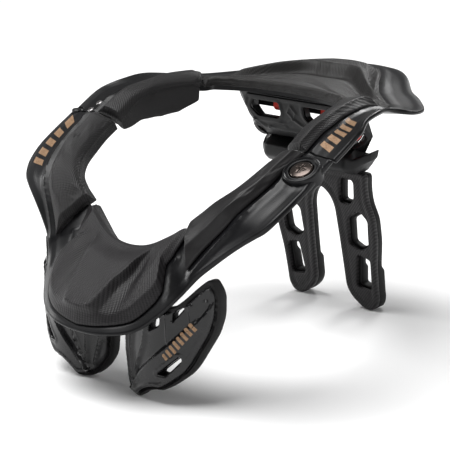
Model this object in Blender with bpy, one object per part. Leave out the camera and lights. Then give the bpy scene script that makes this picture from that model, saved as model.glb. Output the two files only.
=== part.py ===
"""Motocross neck brace: a two-part collar with foam pads, two chest flaps and a folding back strut.

All sizes are in millimetres and are turned into metres when a mesh is made.
+Z is up, the wearer faces -Y, and the wearer's left is +X. Almost every piece is
symmetric about the plane X = 0. The brace stands on its two flap tips and two strut feet.
"""
import math

import bmesh
import bpy
from mathutils import Matrix, Vector

MM = 0.001

# Overall sizes of the collar
HALF_WIDTH = 140.0
FRONT_REACH = 167.0
REAR_REACH = 197.0
HEIGHT = 211.0

# Walls, pads and clearances
CLEARANCE = 0.5
SPLIT_GAP = 2.4
CHASSIS_INNER_DEPTH = 6.0
CHASSIS_OUTER_DEPTH = 3.0
ARM_CROWN = 5.0
TABLE_CROWN = 1.0
PAD_THICKNESS = 7.0
PAD_WALL = 6.0
FRONT_PAD_DROP = 6.0
REAR_PAD_DROP = 22.0
REAR_TABLE_PAD_DROP = 1.0
PAD_EDGE_DROP = 2.0
ARM_PAD_CROWN = 1.0
ARM_PAD_START = 0.12
PLATEAU_HEIGHT = 4.0
CHEVRON_HEIGHT = 8.0
TABLE_PAD_THINNING = 5.5

# Closure on the wearer's left, hinge on the wearer's right
SPLIT_Y = -34.6
HOUSING_STATION = 0.85
HOUSING_SHARE = 0.72
HOUSING_RADIUS = 14.5
HOUSING_DEPTH = 8.5
HOUSING_BEVEL = 1.5
BUTTON_RADIUS = 9.0
BUTTON_LENGTH = 5.0
BUTTON_PROUD = 1.5
BUTTON_TRAVEL = 1.5
BARREL_RADIUS = 5.0
BARREL_LENGTH = 15.0
BARREL_SHARE = 0.90
BARREL_PROUD = 1.5
CUTTER_REACH = 30.0

# Chest flaps
FOOT_Z = 3.0
FLAP_WIDTH = 0.675 * HALF_WIDTH
FLAP_HEIGHT = 0.4787 * HEIGHT
FLAP_SETBACK = 34.0
FLAP_Y = FLAP_SETBACK - FRONT_REACH
FLAP_SWEEP = 17.0
FLAP_SWEEP_SPAN = 40.0
FLAP_MIDDLE_X = 45.0
SHELL_THICKNESS = 3.5
FLAP_PAD_THICKNESS = 7.0
SHELL_INSET = 3.0
FLAP_BEND_STEP = 12.0

# Lower frame under the rear table: a tray with a slanted front wall
FRAME_HALF_WIDTH = 62.0
FRAME_FRONT_Y = 79.0
FRAME_BACK_Y = 99.0
FRAME_LEAN = 13.0
FRAME_FOOT_LEAN = 22.1
FRAME_BACK_LEAN = 26.0
FRAME_BACK_TUCK = 10.0
FRAME_FACE_LEAN = 4.0
FRAME_FACE_RISE = 27.0
FRAME_FRONT_LIFT = 5.0
FRAME_DEPTH = 52.0
FRAME_FOOT_SLOPE = 9.0
FRAME_FRONT_FOOT_Z = HEIGHT - FRAME_DEPTH
FRAME_BACK_FOOT_Z = FRAME_FRONT_FOOT_Z - FRAME_FOOT_SLOPE
HOLLOW_RAISE = 20.0
HOLLOW_REACH = 30.0
FRAME_WALL = 5.0
FRAME_CORNER = 6.0
FRAME_CHAMFER = 15.0
WINDOW_INNER_X = 13.0
WINDOW_OUTER_X = 46.0
WINDOW_CORNER = 4.0
WINDOW_DROP = 20.0
WINDOW_TALL = 14.0
WINDOW_CUT_DEPTH = 15.0
WINDOW_HIGH_Z = HEIGHT - WINDOW_DROP
WINDOW_LOW_Z = WINDOW_HIGH_Z - WINDOW_TALL
RECESS_DEPTH = 3.0
PIN_RADIUS = 3.2
PIN_Y = 102.0
PIN_DROP = 5.5
PIN_Z = WINDOW_HIGH_Z - PIN_DROP
COLLAR_RADIUS = 5.4
COLLAR_LENGTH = 11.0
COLLAR_X = 26.0
LEVER_Y = 104.0
LEVER_HEIGHT_SHARE = 0.3
LEVER_LENGTH = 18.0
LEVER_WIDTH = 6.5
LEVER_PROUD = -1.0
LEVER_TILT = 25.0
LEVER_WELL_MARGIN = 1.0

# The saddle under the frame, and the back strut that hangs from it
SADDLE_HALF_WIDTH = 58.0
SADDLE_FLARE = 0.5
SADDLE_LIP_DROP = 1.0
SADDLE_HEIGHT = 16.5
SADDLE_LIP_Z = FRAME_BACK_FOOT_Z - SADDLE_LIP_DROP
SADDLE_LIP_DEPTH = 15.0
SADDLE_FRONT_Y = 97.0
SADDLE_BACK_Y = 131.0
SADDLE_FOOT_Z = FRAME_BACK_FOOT_Z - SADDLE_HEIGHT
SADDLE_FRONT_TUCK = 7.0
SADDLE_BACK_TUCK = 2.0
SADDLE_NOSE = 6.0
STRUT_HALF_WIDTH = 60.0
STRUT_TOP_SHARE = 0.91
STRUT_TOP_GAP = 0.37
STRUT_HEIGHT = (SADDLE_FOOT_Z - FOOT_Z - STRUT_TOP_GAP) / STRUT_TOP_SHARE
STRUT_TOP_Y = 117.0
STRUT_FOOT_Y = 146.0
STRUT_THICKNESS = 12.0

# Half of the front ring, from the split to the front lip. The rim is the inner edge of the
# pads' top face and the edge is the outer edge of the shell. Columns: rim x, y, z, edge x, y, z,
# as shares of HALF_WIDTH, -FRONT_REACH and HEIGHT.
FRONT_STATIONS = (
    (0.650, 0.222, 0.880, 0.991, 0.230, 0.876),
    (0.640, 0.305, 0.850, 0.996, 0.359, 0.815),
    (0.622, 0.388, 0.812, 0.986, 0.464, 0.766),
    (0.592, 0.480, 0.771, 0.959, 0.550, 0.717),
    (0.530, 0.556, 0.730, 0.919, 0.601, 0.676),
    (0.460, 0.590, 0.685, 0.861, 0.629, 0.646),
    (0.386, 0.598, 0.645, 0.767, 0.659, 0.599),
    (0.336, 0.600, 0.620, 0.667, 0.689, 0.542),
    (0.286, 0.610, 0.597, 0.585, 0.720, 0.490),
    (0.232, 0.624, 0.576, 0.514, 0.773, 0.422),
    (0.178, 0.636, 0.557, 0.444, 0.850, 0.355),
    (0.120, 0.645, 0.543, 0.345, 0.925, 0.300),
    (0.060, 0.650, 0.536, 0.190, 0.985, 0.278),
    (0.000, 0.652, 0.534, 0.000, 1.000, 0.270),
)

# Half of the rear ring, from the split round the wing to the middle of the back.
# Columns as above, with y as a share of REAR_REACH.
REAR_STATIONS = (
    (0.638, -0.160, 0.883, 1.000, -0.176, 0.876),
    (0.636, -0.120, 0.905, 1.003, -0.118, 0.906),
    (0.641, -0.068, 0.940, 1.001, -0.060, 0.936),
    (0.640, -0.013, 0.961, 0.990, -0.008, 0.957),
    (0.629, 0.065, 0.978, 0.945, 0.068, 0.981),
    (0.586, 0.166, 0.987, 0.915, 0.173, 0.993),
    (0.525, 0.254, 0.990, 0.862, 0.294, 0.982),
    (0.496, 0.282, 0.992, 0.921, 0.381, 0.966),
    (0.466, 0.306, 0.998, 0.907, 0.467, 0.958),
    (0.421, 0.322, 0.998, 0.836, 0.548, 0.957),
    (0.364, 0.337, 0.998, 0.714, 0.637, 0.966),
    (0.300, 0.347, 0.998, 0.600, 0.701, 0.977),
    (0.221, 0.356, 0.998, 0.421, 0.845, 0.999),
    (0.143, 0.360, 0.998, 0.271, 0.939, 1.005),
    (0.071, 0.363, 0.998, 0.139, 0.982, 1.005),
    (0.000, 0.363, 0.998, 0.000, 1.000, 1.005),
)

# Outer border of the front arm pad. Columns: station, share of the ring's width.
FRONT_ARM_PAD_BORDER = ((0, 0.48), (1, 0.43), (2, 0.45), (3, 0.44), (4, 0.48), (5, 0.56), (8.5, 0.83))
# The slanted end of the front arm pad. Columns: share of the pad's width, station.
FRONT_ARM_PAD_END = ((0.0, 6.0), (0.45, 7.3), (1.0, 8.3))
# Outer border of the front centre pad and of its raised plateau, by station.
FRONT_CENTRE_PAD_BORDER = (
    (6.5, 0.10), (7.5, 0.22), (8.6, 0.40), (9.2, 0.46), (9.6, 0.78), (10, 0.84), (11, 0.90), (13, 0.95))
PLATEAU_BORDER = ((6.5, 0.0), (8, 0.10), (10, 0.42), (11, 0.66), (12, 0.80), (13, 0.82))

# Depth of the rear arm pad's inner wall as a share of REAR_PAD_DROP, by station.
REAR_ARM_PAD_DROP = ((0, 0.35), (2, 0.72), (4, 1.0), (5, 0.95), (6, 0.55), (7, 0.25))
# Outer border of the rear arm pad, and the seam between it and the rear centre pad.
REAR_ARM_PAD_BORDER = ((0, 0.45), (2, 0.42), (4, 0.43), (5, 0.50), (6, 0.60), (8, 0.60))
REAR_SEAM = ((0.0, 6.25), (0.25, 7.1), (0.5, 7.9), (0.75, 7.5), (1.0, 7.0))
REAR_SEAM_HALF_GAP = 0.26
REAR_CENTRE_PAD_BORDER = (
    (6, 0.62), (8, 0.62), (9, 0.60), (10, 0.60), (11, 0.64), (12, 0.70), (13, 0.80), (14, 0.90), (15, 0.91))
# The raised chevron on the rear centre pad: its height by station, as a share of CHEVRON_HEIGHT,
# and its front edge as a share of the pad's own depth.
CHEVRON_FADE = ((8, 0.08), (10, 0.20), (11, 0.45), (12, 0.85), (13, 1.0))
CHEVRON_FRONT = ((7, 0.75), (9, 0.78), (11, 0.62), (12, 0.54), (13, 0.52), (15, 0.50))

# Outline of a chest flap from its inner top corner, as shares of FLAP_WIDTH and FLAP_HEIGHT.
FLAP_OUTLINE = (
    (0.075, 0.34), (0.085, 0.19), (0.140, 0.08), (0.220, 0.012), (0.300, 0.0),
    (0.370, 0.0), (0.450, 0.065), (0.545, 0.104), (0.620, 0.105), (0.700, 0.155), (0.815, 0.250),
    (0.865, 0.330), (0.970, 0.560), (1.000, 0.700), (1.000, 0.870),
)
# Where the top edge of the flap follows the underside of the front shell.
FLAP_TOP = (0.95, 0.87, 0.79, 0.715, 0.61, 0.51, 0.36, 0.22, 0.075)
FLAP_WINDOWS = (
    ((0.513, 0.650), (0.597, 0.675), (0.592, 0.615), (0.493, 0.558)),
    ((0.704, 0.715), (0.771, 0.765), (0.789, 0.767), (0.700, 0.650)),
    ((0.592, 0.240), (0.670, 0.240), (0.787, 0.371), (0.771, 0.400)),
)

# Outline of half of the back strut, as shares of STRUT_HALF_WIDTH and STRUT_HEIGHT.
STRUT_OUTLINE = (
    (0.0, STRUT_TOP_SHARE), (0.86, STRUT_TOP_SHARE), (0.83, 0.80), (0.84, 0.72), (0.92, 0.62), (0.92, 0.47), (0.86, 0.30),
    (0.84, 0.14), (0.84, 0.07), (0.78, 0.015), (0.70, 0.0), (0.60, 0.0), (0.48, 0.03), (0.36, 0.075),
    (0.29, 0.13), (0.26, 0.45), (0.23, 0.66), (0.17, 0.725), (0.07, 0.765), (0.0, 0.775),
)
STRUT_SLOTS = (
    ((0.36, 0.710), (0.50, 0.705), (0.56, 0.740), (0.58, 0.840), (0.40, 0.840)),
    ((0.46, 0.440), (0.60, 0.410), (0.74, 0.440), (0.76, 0.600), (0.66, 0.640), (0.48, 0.590)),
    ((0.52, 0.160), (0.72, 0.150), (0.74, 0.330), (0.58, 0.350)),
)


def blend(table, key):
    """Value of a two-column table at a key, straight between its rows."""
    if key <= table[0][0]:
        return table[0][1]
    for (low, first), (high, last) in zip(table, table[1:]):
        if key <= high:
            return first + (last - first) * (key - low) / (high - low)
    return table[-1][1]


def ring_rows(stations, reach):
    """Both halves of a ring as rim and edge points, from the left split to the right one."""
    scale = Vector((HALF_WIDTH, reach, HEIGHT))
    half = []
    for row in stations:
        rim = Vector([v * k for v, k in zip(row[:3], scale)])
        edge = Vector([v * k for v, k in zip(row[3:], scale)])
        half.append((rim, edge))
    mirrored = [tuple(Vector((-p.x, p.y, p.z)) for p in pair) for pair in half[-2::-1]]
    return half + mirrored


FRONT_RING = ring_rows(FRONT_STATIONS, -FRONT_REACH)
REAR_RING = ring_rows(REAR_STATIONS, REAR_REACH)
FRONT_MIDDLE = len(FRONT_STATIONS) - 1
REAR_MIDDLE = len(REAR_STATIONS) - 1


def smooth_pair(ring, station):
    """Rim and edge at any station, on a Catmull-Rom curve through the ring's rows."""
    last = len(ring) - 1
    index = max(0, min(int(station), last - 1))
    t = station - index
    rows = [ring[max(0, min(last, index + k))] for k in (-1, 0, 1, 2)]
    points = []
    for side in (0, 1):
        a, b, c, d = (row[side] for row in rows)
        points.append(0.5 * ((2 * b) + (c - a) * t + (2 * a - 5 * b + 4 * c - d) * t * t
                             + (3 * b - a - 3 * c + d) * t ** 3))
    return points


def ring_frame(ring, station):
    """Rim, edge and the unit normal of the ring's face at a station."""
    rim, edge = smooth_pair(ring, station)
    step = 0.25
    before = smooth_pair(ring, max(0, station - step))
    after = smooth_pair(ring, min(len(ring) - 1, station + step))
    along = (after[0] + after[1]) - (before[0] + before[1])
    normal = (edge - rim).cross(along).normalized()
    if normal.z < 0:
        normal.negate()
    return rim, edge, normal


def ring_point(ring, station, share, height, crown):
    """A point at a share of the way from rim to edge, at a height over the shell's top face."""
    rim, edge, normal = ring_frame(ring, station)
    seat = rim - normal * PAD_THICKNESS
    arch = crown * 4 * max(0.0, share) * max(0.0, 1 - share)
    return seat.lerp(edge, share) + normal * (arch + height)


def shell_depth(share):
    """Thickness of the moulded shell at a share of the ring's width."""
    return CHASSIS_INNER_DEPTH + (CHASSIS_OUTER_DEPTH - CHASSIS_INNER_DEPTH) * share


def width_share(ring, station, length):
    """A length across the ring as a share of its width at that station."""
    rim, edge, normal = ring_frame(ring, station)
    return length / (edge - rim + normal * PAD_THICKNESS).length


def material(name, colour, roughness, metallic=0.0):
    found = bpy.data.materials.get(name)
    if found:
        return found
    made = bpy.data.materials.new(name)
    made.use_nodes = True
    shader = made.node_tree.nodes["Principled BSDF"]
    shader.inputs["Base Color"].default_value = (*colour, 1.0)
    shader.inputs["Roughness"].default_value = roughness
    shader.inputs["Metallic"].default_value = metallic
    return made


def shell_black():
    return material("satin black shell", (0.025, 0.025, 0.027), 0.35)


def foam_black():
    return material("charcoal foam", (0.035, 0.033, 0.034), 0.8)


def accent_red():
    return material("red nylon", (0.75, 0.05, 0.04), 0.4)


def dark_chrome():
    return material("dark chrome", (0.16, 0.14, 0.14), 0.2, 0.9)


def add_object(name, bm, finish, smooth_angle=35.0):
    """Turn a bmesh in millimetres into a closed object in metres."""
    bmesh.ops.remove_doubles(bm, verts=bm.verts, dist=0.001)
    bmesh.ops.triangulate(bm, faces=bm.faces)
    bmesh.ops.recalc_face_normals(bm, faces=bm.faces)
    bmesh.ops.scale(bm, vec=(MM, MM, MM), verts=bm.verts)
    mesh = bpy.data.meshes.new(name)
    bm.to_mesh(mesh)
    bm.free()
    mesh.shade_smooth()
    mesh.set_sharp_from_angle(angle=math.radians(smooth_angle))
    mesh.materials.append(finish)
    made = bpy.data.objects.new(name, mesh)
    bpy.context.collection.objects.link(made)
    return made


def sweep(name, loops, finish):
    """A closed solid through loops of the same number of points, with flat-filled ends."""
    bm = bmesh.new()
    rings = [[bm.verts.new(point) for point in loop] for loop in loops]
    for first, second in zip(rings, rings[1:]):
        count = len(first)
        for k in range(count):
            j = (k + 1) % count
            bm.faces.new((first[k], first[j], second[j], second[k]))
    bm.faces.new(rings[0])
    bm.faces.new(rings[-1])
    return add_object(name, bm, finish)


def turned(name, profile, centre, axis, finish, sides=20):
    """A solid of revolution from (radius, distance along the axis) rows."""
    bm = bmesh.new()
    turn = Vector((0, 0, 1)).rotation_difference(Vector(axis)).to_matrix()
    rings = []
    for radius, along in profile:
        spokes = [Vector((radius * math.cos(2 * math.pi * k / sides),
                          radius * math.sin(2 * math.pi * k / sides), along)) for k in range(sides)]
        rings.append([bm.verts.new(Vector(centre) + turn @ spoke) for spoke in spokes])
    for first, second in zip(rings, rings[1:]):
        for k in range(sides):
            j = (k + 1) % sides
            bm.faces.new((first[k], first[j], second[j], second[k]))
    if profile[0] != profile[-1]:
        bm.faces.new(rings[0])
        bm.faces.new(rings[-1])
    return add_object(name, bm, finish)


def subtract(target, cutter):
    """Cut one object out of another with a live Boolean modifier."""
    cutter.hide_render = True
    cutter.display_type = "WIRE"
    cut = target.modifiers.new(cutter.name, "BOOLEAN")
    cut.operation = "DIFFERENCE"
    cut.object = cutter
    cut.solver = "EXACT"


def inset_loop(points, distance):
    """The outline moved inwards by a distance, for a counter-clockwise or clockwise loop."""
    area = sum(a[0] * b[1] - b[0] * a[1] for a, b in zip(points, points[1:] + points[:1]))
    side = 1.0 if area > 0 else -1.0
    moved = []
    for k, point in enumerate(points):
        before, after = Vector(points[k - 1]), Vector(points[(k + 1) % len(points)])
        here = Vector(point)
        first = (here - before).normalized()
        second = (after - here).normalized()
        normal_a = Vector((-first.y, first.x)) * side
        normal_b = Vector((-second.y, second.x)) * side
        mitre = (normal_a + normal_b).normalized()
        stretch = distance / max(0.5, mitre.dot(normal_a))
        moved.append(tuple(here + mitre * stretch))
    return moved


def plate(name, outline, holes, thickness, place, finish, cuts=()):
    """A flat plate with holes, cut at the given x values and then moved onto a curved face."""
    curve = bpy.data.curves.new(name + "_outline", "CURVE")
    curve.dimensions = "2D"
    curve.fill_mode = "BOTH"
    curve.extrude = thickness / 2
    for loop in (outline,) + tuple(holes):
        spline = curve.splines.new("POLY")
        spline.points.add(len(loop) - 1)
        for target, (x, y) in zip(spline.points, loop):
            target.co = (x, y, 0, 1)
        spline.use_cyclic_u = True
    guide = bpy.data.objects.new(name + "_outline", curve)
    bpy.context.collection.objects.link(guide)
    bpy.context.view_layer.update()
    flat = bpy.data.meshes.new_from_object(guide.evaluated_get(bpy.context.evaluated_depsgraph_get()))
    bpy.data.objects.remove(guide)
    bm = bmesh.new()
    bm.from_mesh(flat)
    bpy.data.meshes.remove(flat)
    bmesh.ops.remove_doubles(bm, verts=bm.verts, dist=0.01)
    for x in cuts:
        everything = bm.verts[:] + bm.edges[:] + bm.faces[:]
        bmesh.ops.bisect_plane(bm, geom=everything, dist=0.01, plane_co=(x, 0, 0), plane_no=(1, 0, 0))
    for vertex in bm.verts:
        vertex.co = place(vertex.co.x, vertex.co.y, vertex.co.z)
    return add_object(name, bm, finish)


def mirrored_copy(source, name):
    """The same piece on the other side of the plane X = 0."""
    bm = bmesh.new()
    bm.from_mesh(source.data)
    bmesh.ops.scale(bm, vec=(-1, 1, 1), verts=bm.verts)
    bmesh.ops.reverse_faces(bm, faces=bm.faces)
    mesh = bpy.data.meshes.new(name)
    bm.to_mesh(mesh)
    bm.free()
    mesh.materials.append(source.data.materials[0])
    made = bpy.data.objects.new(name, mesh)
    bpy.context.collection.objects.link(made)
    return made


CHASSIS_COLUMNS = (0.0, 0.15, 0.30, 0.45, 0.60, 0.80, 1.0)


def chassis(name, ring, crown_at, first, last, step):
    """The moulded shell of one half of the collar, with its deeper side at the pads' walls."""
    loops = []
    count = int(round((last - first) / step))
    for k in range(count + 1):
        station = first + (last - first) * k / count
        start = width_share(ring, station, PAD_WALL + 2 * CLEARANCE)
        crown = crown_at(station)
        top = []
        bottom = []
        for column in CHASSIS_COLUMNS:
            share = start + (1 - start) * column
            top.append(ring_point(ring, station, share, 0.0, crown))
            bottom.append(ring_point(ring, station, share, -shell_depth(share), crown))
        loops.append(top + bottom[::-1])
    return sweep(name, loops, shell_black())


def front_crown(station):
    return ARM_CROWN


def rear_crown(station):
    away = abs(station - REAR_MIDDLE)
    return blend(((0, TABLE_CROWN), (11, TABLE_CROWN), (14, ARM_CROWN)), away)


PAD_COLUMNS = 6


def pad_section(ring, station_at, border, crown_at, thickness_at, drop):
    """One loop of a pad: a rounded top, a seat on the shell and a wall down the ring's inner side."""
    top = []
    seat = []
    for k in range(PAD_COLUMNS + 1):
        part = k / PAD_COLUMNS
        station = station_at(part)
        share = border(station) * part
        edge_drop = PAD_EDGE_DROP if k in (0, PAD_COLUMNS) else 0.0
        height = thickness_at(station, part) - edge_drop
        top.append(ring_point(ring, station, share, height, crown_at(station)))
    for k in range(PAD_COLUMNS, 0, -1):
        part = k / PAD_COLUMNS
        station = station_at(part)
        wall = width_share(ring, station, PAD_WALL + CLEARANCE)
        share = max(border(station) * part, wall)
        seat.append(ring_point(ring, station, share, CLEARANCE, crown_at(station)))
    station = station_at(0.0)
    wall = width_share(ring, station, PAD_WALL)
    seat.append(ring_point(ring, station, wall, CLEARANCE, crown_at(station)))
    seat.append(ring_point(ring, station, wall, -drop(station), crown_at(station)))
    top.insert(0, ring_point(ring, station, 0.02, 1.0 - drop(station), crown_at(station)))
    return top + seat


def arm_pad(name, ring, border_table, end_table, crown_at, drop_table, rows):
    """A long pad from the split to its slanted end, on the left arm."""
    start = ARM_PAD_START

    def border(station):
        return blend(border_table, station)

    def drop(station):
        return blend(drop_table, station)

    def thickness(station, part):
        return PAD_THICKNESS + ARM_PAD_CROWN * math.sin(math.pi * part)

    loops = []
    for row in range(rows + 1):
        progress = row / rows

        def station_at(part, progress=progress):
            return start + (blend(end_table, part) - start) * progress

        loops.append(pad_section(ring, station_at, border, crown_at, thickness, drop))
    return sweep(name, loops, foam_black())


def shifted(table, amount):
    return tuple((key, value + amount) for key, value in table)


def centre_pad(name, ring, middle, border_table, end_table, crown_at, drop, raised, rows):
    """A pad across the middle of a ring, symmetric about its middle station."""

    def folded(station):
        return middle - abs(station - middle)

    def border(station):
        return blend(border_table, folded(station))

    def thickness(station, part):
        return PAD_THICKNESS + raised(folded(station), part)

    loops = []
    for row in range(rows + 1):
        progress = row / rows

        def station_at(part, progress=progress):
            start = blend(end_table, part)
            return start + (2 * middle - 2 * start) * progress

        loops.append(pad_section(ring, station_at, border, crown_at, thickness, lambda station: drop))
    return sweep(name, loops, foam_black())


def soft_step(value):
    value = max(0.0, min(1.0, value))
    return value * value * (3 - 2 * value)


def plateau(station, part):
    """Height of the raised middle field of the front centre pad."""
    border = blend(FRONT_CENTRE_PAD_BORDER, station)
    inside = blend(PLATEAU_BORDER, station) - border * part
    return PLATEAU_HEIGHT * soft_step(inside / 0.12) * soft_step((station - 8) / 3)


def chevron(station, part):
    """Height of the rear centre pad over its thickness at the rim: it thins to the back and
    carries a raised chevron that fades along its legs."""
    rise = CHEVRON_HEIGHT * blend(CHEVRON_FADE, station)
    return rise * soft_step((part - blend(CHEVRON_FRONT, station)) / 0.12) - TABLE_PAD_THINNING * soft_step(part * 1.6)


def build_collar():
    front = chassis("front_chassis", FRONT_RING, front_crown, 0.0, 2.0 * FRONT_MIDDLE, 0.5)
    rear = chassis("rear_chassis", REAR_RING, rear_crown, 0.0, 2.0 * REAR_MIDDLE, 0.5)
    front_arm = arm_pad("front_arm_pad_left", FRONT_RING, FRONT_ARM_PAD_BORDER, FRONT_ARM_PAD_END,
                        front_crown, ((0, FRONT_PAD_DROP), (8, FRONT_PAD_DROP)), 16)
    mirrored_copy(front_arm, "front_arm_pad_right")
    drops = [(station, REAR_PAD_DROP * share) for station, share in REAR_ARM_PAD_DROP]
    rear_arm = arm_pad("rear_arm_pad_left", REAR_RING, REAR_ARM_PAD_BORDER,
                       shifted(REAR_SEAM, -REAR_SEAM_HALF_GAP), rear_crown, drops, 14)
    mirrored_copy(rear_arm, "rear_arm_pad_right")
    centre_pad("front_centre_pad", FRONT_RING, FRONT_MIDDLE, FRONT_CENTRE_PAD_BORDER,
               ((0.0, 6.55), (1.0, 6.8)), front_crown, FRONT_PAD_DROP, plateau, 24)
    centre_pad("rear_centre_pad", REAR_RING, REAR_MIDDLE, REAR_CENTRE_PAD_BORDER,
               shifted(REAR_SEAM, REAR_SEAM_HALF_GAP), rear_crown, REAR_TABLE_PAD_DROP, chevron, 24)
    return front, rear


def build_closure(front):
    """The round latch housing with its button on the left split."""
    station, share = HOUSING_STATION, HOUSING_SHARE
    rim, edge, normal = ring_frame(FRONT_RING, station)
    centre = ring_point(FRONT_RING, station, share, HOUSING_BEVEL, ARM_CROWN)
    bore = BUTTON_RADIUS + CLEARANCE
    floor = -BUTTON_LENGTH - BUTTON_TRAVEL
    turned("closure_housing", (
        (bore, floor), (bore, 0.0), (bore + HOUSING_BEVEL, HOUSING_BEVEL),
        (HOUSING_RADIUS - HOUSING_BEVEL, HOUSING_BEVEL), (HOUSING_RADIUS, 0.0),
        (HOUSING_RADIUS, -HOUSING_DEPTH), (0.5, -HOUSING_DEPTH), (0.5, floor)),
        centre, normal, shell_black(), sides=28)
    turned("closure_button", (
        (BUTTON_RADIUS, -BUTTON_LENGTH), (BUTTON_RADIUS, 0.0), (BUTTON_RADIUS - HOUSING_BEVEL, BUTTON_PROUD),
        (BUTTON_RADIUS * 0.4, BUTTON_PROUD + 0.6)), centre, normal, dark_chrome(), sides=20)
    cutter = turned("closure_clearance", (
        (HOUSING_RADIUS + CLEARANCE, -CUTTER_REACH), (HOUSING_RADIUS + CLEARANCE, CUTTER_REACH)),
        centre, normal, shell_black(), sides=28)
    subtract(front, cutter)
    subtract(bpy.data.objects["front_arm_pad_left"], cutter)


def build_hinge(front, rear):
    """The hinge barrel at the outer corner of the right split."""
    top = ring_point(REAR_RING, 2.0 * REAR_MIDDLE, BARREL_SHARE, 0.0, ARM_CROWN)
    centre = Vector((top.x, SPLIT_Y - SPLIT_GAP / 2, top.z + BARREL_PROUD - BARREL_LENGTH))
    turned("hinge_barrel", (
        (BARREL_RADIUS - 1, 0.0), (BARREL_RADIUS, 1.0), (BARREL_RADIUS, BARREL_LENGTH - 1.0),
        (BARREL_RADIUS - 1, BARREL_LENGTH)), centre, (0, 0, 1), shell_black(), sides=18)
    cutter = turned("hinge_clearance", (
        (BARREL_RADIUS + CLEARANCE, -CUTTER_REACH), (BARREL_RADIUS + CLEARANCE, BARREL_LENGTH + CUTTER_REACH)),
        centre, (0, 0, 1), shell_black(), sides=18)
    subtract(front, cutter)
    subtract(rear, cutter)


def height_under(ring, crown_at, guess, x, y):
    """Height of the underside of a ring's shell over a place in plan, found by Newton steps."""

    def below(station, share):
        return ring_point(ring, station, share, -shell_depth(share), crown_at(station))

    station, share = guess
    step = 0.02
    last = len(ring) - 1
    for _ in range(25):
        here = below(station, share)
        by_station = below(station + step, share)
        by_share = below(station, share + step)
        slope = Matrix(((by_station.x - here.x, by_share.x - here.x),
                        (by_station.y - here.y, by_share.y - here.y))) * (1 / step)
        move = slope.inverted() @ Vector((x - here.x, y - here.y))
        station = min(last - step, max(0.0, station + max(-1.0, min(1.0, move.x))))
        share = min(0.99, max(0.01, share + max(-0.2, min(0.2, move.y))))
    return below(station, share).z


def scaled_loop(loop, width, height):
    return [(x * width, FOOT_Z + z * height) for x, z in loop]


def flap_y(x):
    return FLAP_Y + FLAP_SWEEP * ((x - FLAP_MIDDLE_X) / FLAP_SWEEP_SPAN) ** 2


def build_flaps():
    """A thin moulded shell on a foam pad, on each side of the chest."""
    scaled = scaled_loop(FLAP_OUTLINE, FLAP_WIDTH, FLAP_HEIGHT)
    for share in FLAP_TOP:
        x = share * FLAP_WIDTH
        under = [height_under(FRONT_RING, front_crown, (9.0, 0.7), x, flap_y(x) + y)
                 for y in (-SHELL_THICKNESS - CLEARANCE, FLAP_PAD_THICKNESS)]
        scaled.append((x, min(min(under) - 3 * CLEARANCE, FOOT_Z + FLAP_HEIGHT)))
    holes = [scaled_loop(loop, FLAP_WIDTH, FLAP_HEIGHT) for loop in FLAP_WINDOWS]
    steps = int(FLAP_WIDTH / FLAP_BEND_STEP)
    cuts = [FLAP_BEND_STEP * (k + 1) for k in range(steps)]

    def shell_place(x, z, depth):
        return Vector((x, flap_y(x) - CLEARANCE - SHELL_THICKNESS / 2 + depth, z))

    def pad_place(x, z, depth):
        return Vector((x, flap_y(x) + FLAP_PAD_THICKNESS / 2 + depth, z))

    inner = inset_loop(scaled, SHELL_INSET)
    inner[-len(FLAP_TOP):] = [(a[0], b[1] - CLEARANCE) for a, b in
                              zip(inner[-len(FLAP_TOP):], scaled[-len(FLAP_TOP):])]
    shell = plate("chest_shell_left", inner, holes, SHELL_THICKNESS,
                  shell_place, shell_black(), cuts)
    mirrored_copy(shell, "chest_shell_right")
    pad = plate("chest_pad_left", scaled, holes, FLAP_PAD_THICKNESS, pad_place, foam_black(), cuts)
    mirrored_copy(pad, "chest_pad_right")


def strut_y(z):
    return STRUT_TOP_Y + (STRUT_FOOT_Y - STRUT_TOP_Y) * (1 - z / STRUT_HEIGHT)


def build_strut():
    """The back strut: an upside-down U of thick foam-backed plate."""
    half = scaled_loop(STRUT_OUTLINE, STRUT_HALF_WIDTH, STRUT_HEIGHT)
    outline = half + [(-x, z) for x, z in half[-2:0:-1]]
    slots = []
    for loop in STRUT_SLOTS:
        slot = scaled_loop(loop, STRUT_HALF_WIDTH, STRUT_HEIGHT)
        slots.append(slot)
        slots.append([(-x, z) for x, z in slot])

    def place(x, z, depth):
        return Vector((x, strut_y(z) + STRUT_THICKNESS / 2 + depth, z))

    plate("thoracic_strut", outline, slots, STRUT_THICKNESS, place, foam_black())


def build_saddle():
    """The flared saddle on top of the strut, on which the lower frame sits."""
    loops = []
    flare_start = FRAME_HALF_WIDTH - FRAME_CHAMFER
    for share, front_trim, back_trim in (
            (-1.0, 21.0, 1.5), (-0.9, 10.0, 0.0), (-0.75, 2.5, 0.0), (0.0, 0.0, 0.0),
            (0.75, 2.5, 0.0), (0.9, 10.0, 0.0), (1.0, 21.0, 1.5)):
        x = share * SADDLE_HALF_WIDTH
        front = SADDLE_FRONT_Y + front_trim
        back = SADDLE_BACK_Y - back_trim
        flare = SADDLE_FLARE * max(0.0, abs(x) - flare_start)
        seat = max(front + 1.0, SADDLE_FRONT_Y + SADDLE_LIP_DEPTH)
        seat_z = (tray_floor(back) + 0.6 * flare if flare else tray_floor(seat)) - CLEARANCE
        loops.append([Vector((x, front, min(SADDLE_LIP_Z + 0.4 * flare, seat_z))), Vector((x, seat, seat_z)),
                      Vector((x, back, tray_floor(back) - CLEARANCE + flare)),
                      Vector((x, back - SADDLE_BACK_TUCK, SADDLE_FOOT_Z + 2.5 * flare)),
                      Vector((x, front + SADDLE_FRONT_TUCK, SADDLE_FOOT_Z + 2.5 * flare)),
                      Vector((x, front, SADDLE_FOOT_Z + SADDLE_NOSE + flare))])
    sweep("strut_saddle", loops, foam_black())


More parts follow.
